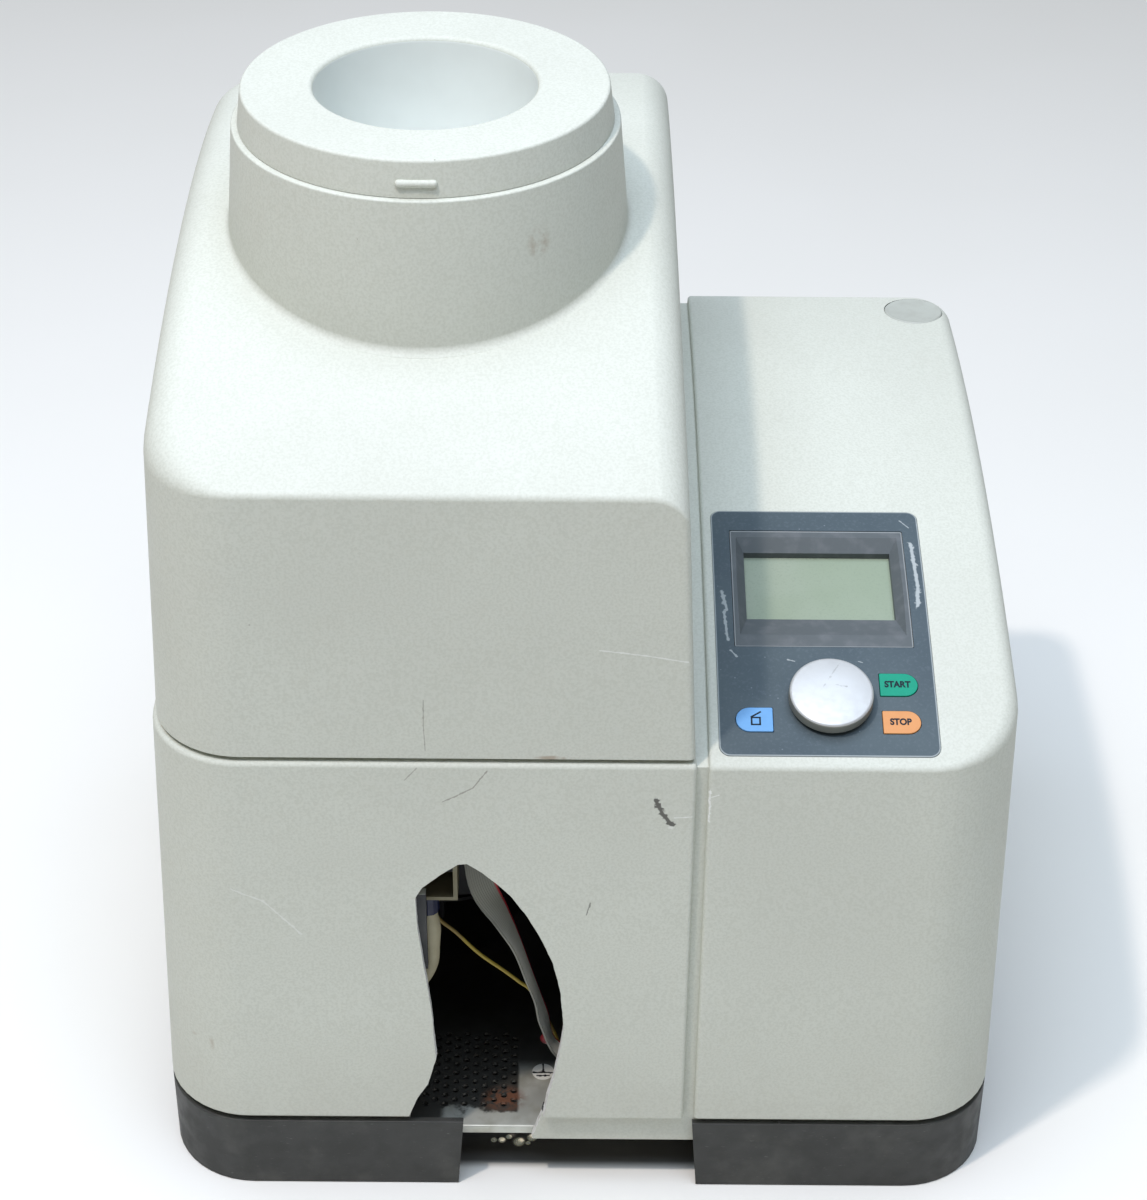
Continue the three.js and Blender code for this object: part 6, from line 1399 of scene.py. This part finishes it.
sticker = Finish("earth_sticker", (0.86, 0.87, 0.80), 0.45)
EARTH_SYMBOL = (
    ((-18.3, -131.0), (-18.3, -138.2)), ((-23.4, -138.2), (-13.2, -138.2)), ((-21.4, -140.3), (-15.2, -140.3)),
)
for line in EARTH_SYMBOL:
    sticker.tint(sticker.stroke([(x, y, TRAY_TOP + 0.2) for x, y in line], 1.5), (0.01, 0.01, 0.01), 1.0)
sticker.bump(sticker.noise(900.0), 0.02)
sign = cylinder("earth_sign", 5.6, TRAY_TOP + 0.02, TRAY_TOP + 0.2, (-18.3, -137.6), 48)
dress(sign, "base", "galvanised_sheet", sticker.material, weighted=False)

# %% [markdown]
# ## Wiring behind the break
# A bracket, a sleeved motor lead, an earth wire and a ribbon cable show through the broken front. Each of the
# three cords is a section carried along the route that the frame's own solid follows.

# %% Wires
RIBBON_ROUTE = [
    (-50.2, -150, 232.4), (-50, -152, 206), (-47.2, -157, 176), (-38.2, -158, 156), (-31.1, -158, 139),
    (-25.6, -158, 120), (-21.3, -158, 105), (-17.7, -158, 89.7), (-9.3, -157, 66.4), (18, -146, 54),
    (58, -130, 62), (104, -44, 88),
]
RIBBON_EDGES = [
    (1, 0.2, 0), (1, 0.2, 0), (0.95, 0.3, 0), (0.5, 0.87, 0), (0.16, 0.98, 0), (0.1, 0.99, 0), (0.07, 1, 0),
    (0.2, 0.98, 0), (-0.1, 0.99, 0), (0, 1, 0), (0, 1, 0), (0, 1, 0),
]
EARTH_ROUTE = [
    (-66, -148, 171), (-68, -149, 160), (-69.1, -150, 148.3), (-60.3, -150, 138.1), (-49.1, -150, 124.4),
    (-37.7, -150, 113.9), (-29.8, -150, 106.2), (-24.2, -149.6, 100), (-17.7, -149, 84.5),
    (-13.3, -149, 73.5), (-8.5, -149, 60), (0, -148, 46), (4, -148, 34.2),
]
LEAD_ROUTE = [
    (-72.5, -157, 158.5), (-72, -157, 148), (-71.8, -157, 136), (-72.8, -156, 124), (-77.4, -154, 112),
    (-84, -146, 98), (-91, -132, 80), (-96, -120, 62), (-98, -112, 48), (-98, -110, 34),
]


def plain(name, colour, other, roughness, metallic=0.0, grain=600.0):
    """A moulded or cast surface: two close tones, a fine grain and a slightly uneven gloss."""
    finish = Finish(name, colour, roughness, metallic)
    finish.tint(finish.between(finish.noise(70.0, 4.0), 0.4, 0.7), other, 0.6)
    finish.rough(finish.noise(110.0, 3.0), max(roughness - 0.07, 0.05), roughness + 0.07)
    finish.bump(finish.noise(grain, 3.0), 0.05, 0.5)
    return finish.material


earth_look = Finish("earth_insulation", (0.27, 0.19, 0.05), 0.5)
stripe = earth_look.between(earth_look.noise(70.0, 0.0), 0.47, 0.53)
earth_look.tint(stripe, (0.40, 0.30, 0.04), 0.9)
earth_look.bump(earth_look.noise(900.0), 0.02)
ribbon_look = Finish("ribbon_insulation", (0.84, 0.84, 0.74), 0.5)
ribbon_look.tint(ribbon_look.between(ribbon_look.noise(70.0, 4.0), 0.4, 0.7), (0.72, 0.72, 0.62), 0.6)
# Higher up, where the ribbon runs into the housing, it is painted dark: painted shade.
ribbon_look.tint(ribbon_look.between(ribbon_look.axis("Z"), 0.115, 0.185), (0.13, 0.13, 0.10), 0.9)
ribbon_red = plain("ribbon_edge", (0.45, 0.03, 0.04), (0.30, 0.02, 0.03), 0.5)
# The ribbon's edge faces get a darker grey: painted shade on its edges.
ribbon_edge_shade = plain("ribbon_rim_shade", (0.20, 0.20, 0.17), (0.16, 0.16, 0.13), 0.6)
cream = plain("lead_sheath", (0.46, 0.42, 0.28), (0.36, 0.32, 0.20), 0.55)
blue = plain("sleeve_plastic", (0.006, 0.010, 0.045), (0.008, 0.014, 0.06), 0.5)
beige = plain("bracket_plastic", (0.22, 0.20, 0.12), (0.16, 0.14, 0.08), 0.6)

EARTH_RADIUS, LEAD_RADIUS, LEAD_WIDEST = 0.9, 4.2, 5.1
TERMINAL_RADIUS, TERMINAL_REACH, TERMINAL_PLACE = 3.0, 4.2, (-15.5, -149, 67.5)
wire = swept("earth_lead", smooth_route(EARTH_ROUTE), ring_section(EARTH_RADIUS))
dress(wire, "base", "cable_earth", earth_look.material, "earth_wire", weighted=False)
red = plain("terminal_red", (0.16, 0.012, 0.018), (0.10, 0.01, 0.014), 0.5)
bend = np.linspace(0, math.pi, 13)
terminal_line = np.stack([TERMINAL_RADIUS * np.sin(bend), -TERMINAL_REACH * np.cos(bend)], axis=-1)
terminal = turned("red_terminal", terminal_line, 32, (0.0, 0.0))
on_side = np.array([[0, 0, 1, 0], [0, 1, 0, 0], [-1, 0, 0, 0], [0, 0, 0, 1]], float)
on_side[:3, 3] = TERMINAL_PLACE
dress(moved(terminal, on_side), "base", "cable_earth", red, weighted=False)
lead_line = smooth_route(LEAD_ROUTE)
share = np.linspace(0, 1, len(lead_line))
bulge = 1 + 0.22 * np.exp(-((share - 0.12) / 0.07)**2)
lead_section = ring_section(LEAD_RADIUS)[None] * bulge[:, None, None]
lead = swept("lead_cable", lead_line, np.minimum(lead_section, LEAD_WIDEST))
dress(lead, "base", "cable_beige", cream, "motor_lead", weighted=False)


def ribbon_section(width, thickness, wires):
    """The outline of a ribbon of round wires side by side: half the thickness, eased at each joint."""
    u = np.linspace(-1, 1, wires * 6 + 1)
    half = thickness / 2 * (0.72 + 0.28 * np.sqrt(1 - (2 * ((u + 1) / 2 * wires % 1) - 1)**2 * 0.98))
    upper = np.stack([u * width / 2, half], axis=-1)
    return np.concatenate([upper, upper[::-1] * np.array([1, -1])])


RIBBON_WIDTH, RIBBON_THICKNESS, WIRES = 13.0, 1.2, 12
ribbon_line = smooth_route(RIBBON_ROUTE, 6)
section = ribbon_section(RIBBON_WIDTH, RIBBON_THICKNESS, WIRES)
ribbon = swept("ribbon", ribbon_line, section, smooth_route(RIBBON_EDGES, 6))
column = np.arange(len(ribbon.data.polygons)) % len(section)
last_wire = (column >= WIRES * 6 - 6) & (column < WIRES * 6 + 7)
front_edge = (column < 2) | (column >= len(section) - 3)
dress(ribbon, "base", "cable_grey", [ribbon_look.material, ribbon_red, ribbon_edge_shade], "ribbon_cable",
      weighted=False, angle=60)
number_finishes(ribbon, last_wire + 2 * front_edge)

# %% [markdown]
# ## Finishes for the carried-over parts
# The rest of the mill keeps the frame's own shapes. Each node gets the finish of its real material: turned
# stainless steel, cast aluminium, black moulded plastic, rubber, or bright drawn steel.

# %% Finishes by node
BRUSH_STRETCH = (1.0, 1.0, 14.0)


def brushed(name, colour, roughness):
    """Metal with fine parallel marks and a slightly clouded tone."""
    finish = Finish(name, colour, roughness, metallic=1.0)
    finish.tint(finish.between(finish.noise(40.0, 4.0), 0.4, 0.7), tuple(0.82 * c for c in colour), 0.5)
    finish.rough(finish.noise(420.0, 3.0, stretch=BRUSH_STRETCH), roughness, roughness + 0.05)
    finish.bump(finish.noise(700.0, 2.0, stretch=BRUSH_STRETCH), 0.003, 0.2)
    return finish.material


stainless = brushed("stainless_steel", (0.66, 0.66, 0.65), 0.24)
bright_steel = brushed("bright_steel", (0.56, 0.56, 0.57), 0.22)
zinc = Finish("zinc_sheet", (0.45, 0.46, 0.45), 0.42, metallic=0.85)
zinc.tint(zinc.between(zinc.cells(70.0), 0.1, 0.8), (0.34, 0.35, 0.34), 0.6)
zinc.rough(zinc.noise(60.0, 4.0), 0.32, 0.52)
cast = plain("cast_aluminium", (0.50, 0.51, 0.52), (0.42, 0.43, 0.44), 0.42, 0.9, 400.0)
black = plain("black_plastic", (0.020, 0.020, 0.021), (0.035, 0.035, 0.035), 0.5)
motor_black = plain("motor_paint", (0.018, 0.019, 0.021), (0.04, 0.04, 0.04), 0.45)
rubber = plain("rubber", (0.022, 0.022, 0.022), (0.04, 0.04, 0.038), 0.8, 0.0, 350.0)
circuit = plain("circuit_board", (0.012, 0.085, 0.045), (0.02, 0.13, 0.07), 0.4)

NODE_FINISHES = {
    stainless: ("hood_liner", "hood_catch", "ring_sieve", "mill_rotor"),
    bright_steel: ("hinge_pin_left", "hinge_pin_right", "motor_shaft", "upper_bearing", "lower_bearing",
                   "lock_bolt", "encoder_shaft"),
    zinc.material: ("hinge_arm_left", "hinge_arm_right", "hinge_bracket_left", "hinge_bracket_right",
                    "inverter_case", "rear_panel"),
    cast: ("chamber_bowl", "motor_carrier", "heat_sink"),
    black: ("cooling_fan", "lock_drive", "encoder_body", "socket_tube", "rear_grille", "power_entry",
            "fuse_drawer", "mains_rocker"),
    motor_black: ("motor_housing",),
    rubber: ("foot_front_left", "foot_front_right", "foot_rear_left", "foot_rear_right", "hood_seal",
             "shaft_seal", "rubber_buffer_1", "rubber_buffer_2", "rubber_buffer_3"),
    circuit: ("control_board",),
    blue: ("lead_sleeve",),
    beige: ("cable_bracket",),
}
for finish, names in NODE_FINISHES.items():
    for name in names:
        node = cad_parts[name]
        node.data.materials.clear()
        node.data.materials.append(finish)
        node.data.shade_smooth()
        node.data.set_sharp_from_angle(angle=math.radians(32.0))

# %% [markdown]
# ## Cassette
# With the hood open, the pressed steel cassette shows: a round pan and its lid. Both are turned profiles, and
# their folded edges are slightly rounded.

# %% Cassette
PAN_RADIUS, PAN_WALL, PAN_FLOOR, PAN_TOP, PAN_INNER, PAN_INNER_TOP = 94.0, 1.5, 232.3, 296.0, 55.5, 250.0
LID_SHEET, LID_DROP, LID_HOLE, LID_COLLAR = 2.0, 6.0, 30.0, 5.0
SIEVE_RADIUS, SIEVE_RIM, SIEVE_TOP = 54.5, 3.0, 288.3
pan_line = [
    [PAN_INNER - PAN_WALL, PAN_FLOOR], [PAN_RADIUS, PAN_FLOOR], [PAN_RADIUS, PAN_TOP],
    [PAN_RADIUS - PAN_WALL, PAN_TOP], [PAN_RADIUS - PAN_WALL, PAN_FLOOR + PAN_WALL],
    [PAN_INNER, PAN_FLOOR + PAN_WALL], [PAN_INNER, PAN_INNER_TOP], [PAN_INNER - PAN_WALL, PAN_INNER_TOP],
]
lid_bottom = PAN_TOP + GAP
lid_top = lid_bottom + LID_SHEET
lid_rim = PAN_RADIUS + LID_SHEET + GAP
lid_line = [
    [LID_HOLE, lid_bottom], [SIEVE_RADIUS - SIEVE_RIM, lid_bottom], [SIEVE_RADIUS - SIEVE_RIM, SIEVE_TOP + GAP],
    [SIEVE_RADIUS, SIEVE_TOP + GAP], [SIEVE_RADIUS, lid_bottom], [PAN_RADIUS + GAP, lid_bottom],
    [PAN_RADIUS + GAP, lid_bottom - LID_DROP], [lid_rim, lid_bottom - LID_DROP], [lid_rim, lid_top],
    [LID_HOLE + LID_SHEET, lid_top], [LID_HOLE + LID_SHEET, lid_top + LID_COLLAR],
    [LID_HOLE, lid_top + LID_COLLAR],
]
for piece, line in (("cassette_pan", pan_line), ("cassette_lid", lid_line)):
    pressing = turned(piece + "_pressing", line, 160, ease=0.35)
    dress(pressing, "base", "stainless", stainless, piece, angle=30)

# %% [markdown]
# ## Floor
# A pale floor catches the shadow. Under the machine it carries a painted shadow and a few painted highlights. It
# is stage, not part of the mill.

# %% Floor
floor_look = Finish("floor_paper", (0.89, 0.885, 0.84), 0.8, specular=0.2)
floor_look.tint(floor_look.between(floor_look.noise(3.0, 2.0), 0.4, 0.6), (0.91, 0.905, 0.865), 0.5)
# Under the machine the floor is painted near black: a painted shadow with a sharp edge.
inside_x = floor_look.between(floor_look.math("ABSOLUTE", floor_look.axis("X")), 0.191, 0.184)
inside_y = floor_look.between(floor_look.math("ABSOLUTE", floor_look.axis("Y")), 0.173, 0.166)
floor_look.tint(floor_look.math("MULTIPLY", inside_x, inside_y), (0.05, 0.048, 0.045), 0.9)
# Spots under the tray's lip, painted brighter than white: painted highlights.
for x, y, size in ((-43.2, -153.0, 2.0), (-39.1, -153.0, 2.4), (-35.6, -150.8, 2.0), (-30.4, -154.3, 3.6),
                   (-23.8, -151.3, 3.0), (-25.8, -155.0, 1.6)):
    floor_look.tint(floor_look.spot((x, y, 0.0), (size, size, 9.0)), (2.2, 2.2, 1.8), 0.9)
FLOOR_HALF = 4000.0
corner = np.array([[-1, -1, 0], [1, -1, 0], [1, 1, 0], [-1, 1, 0]]) * FLOOR_HALF
floor = mesh_object("floor", corner, [[0, 1, 2, 3]])
floor.data.materials.append(floor_look.material)

# %% [markdown]
# ## The last line
# The last line prints how many new pieces were made. The dressed mill has to stay inside the imported
# model's box.

# %% Count of new pieces
print(len(made), "new pieces")
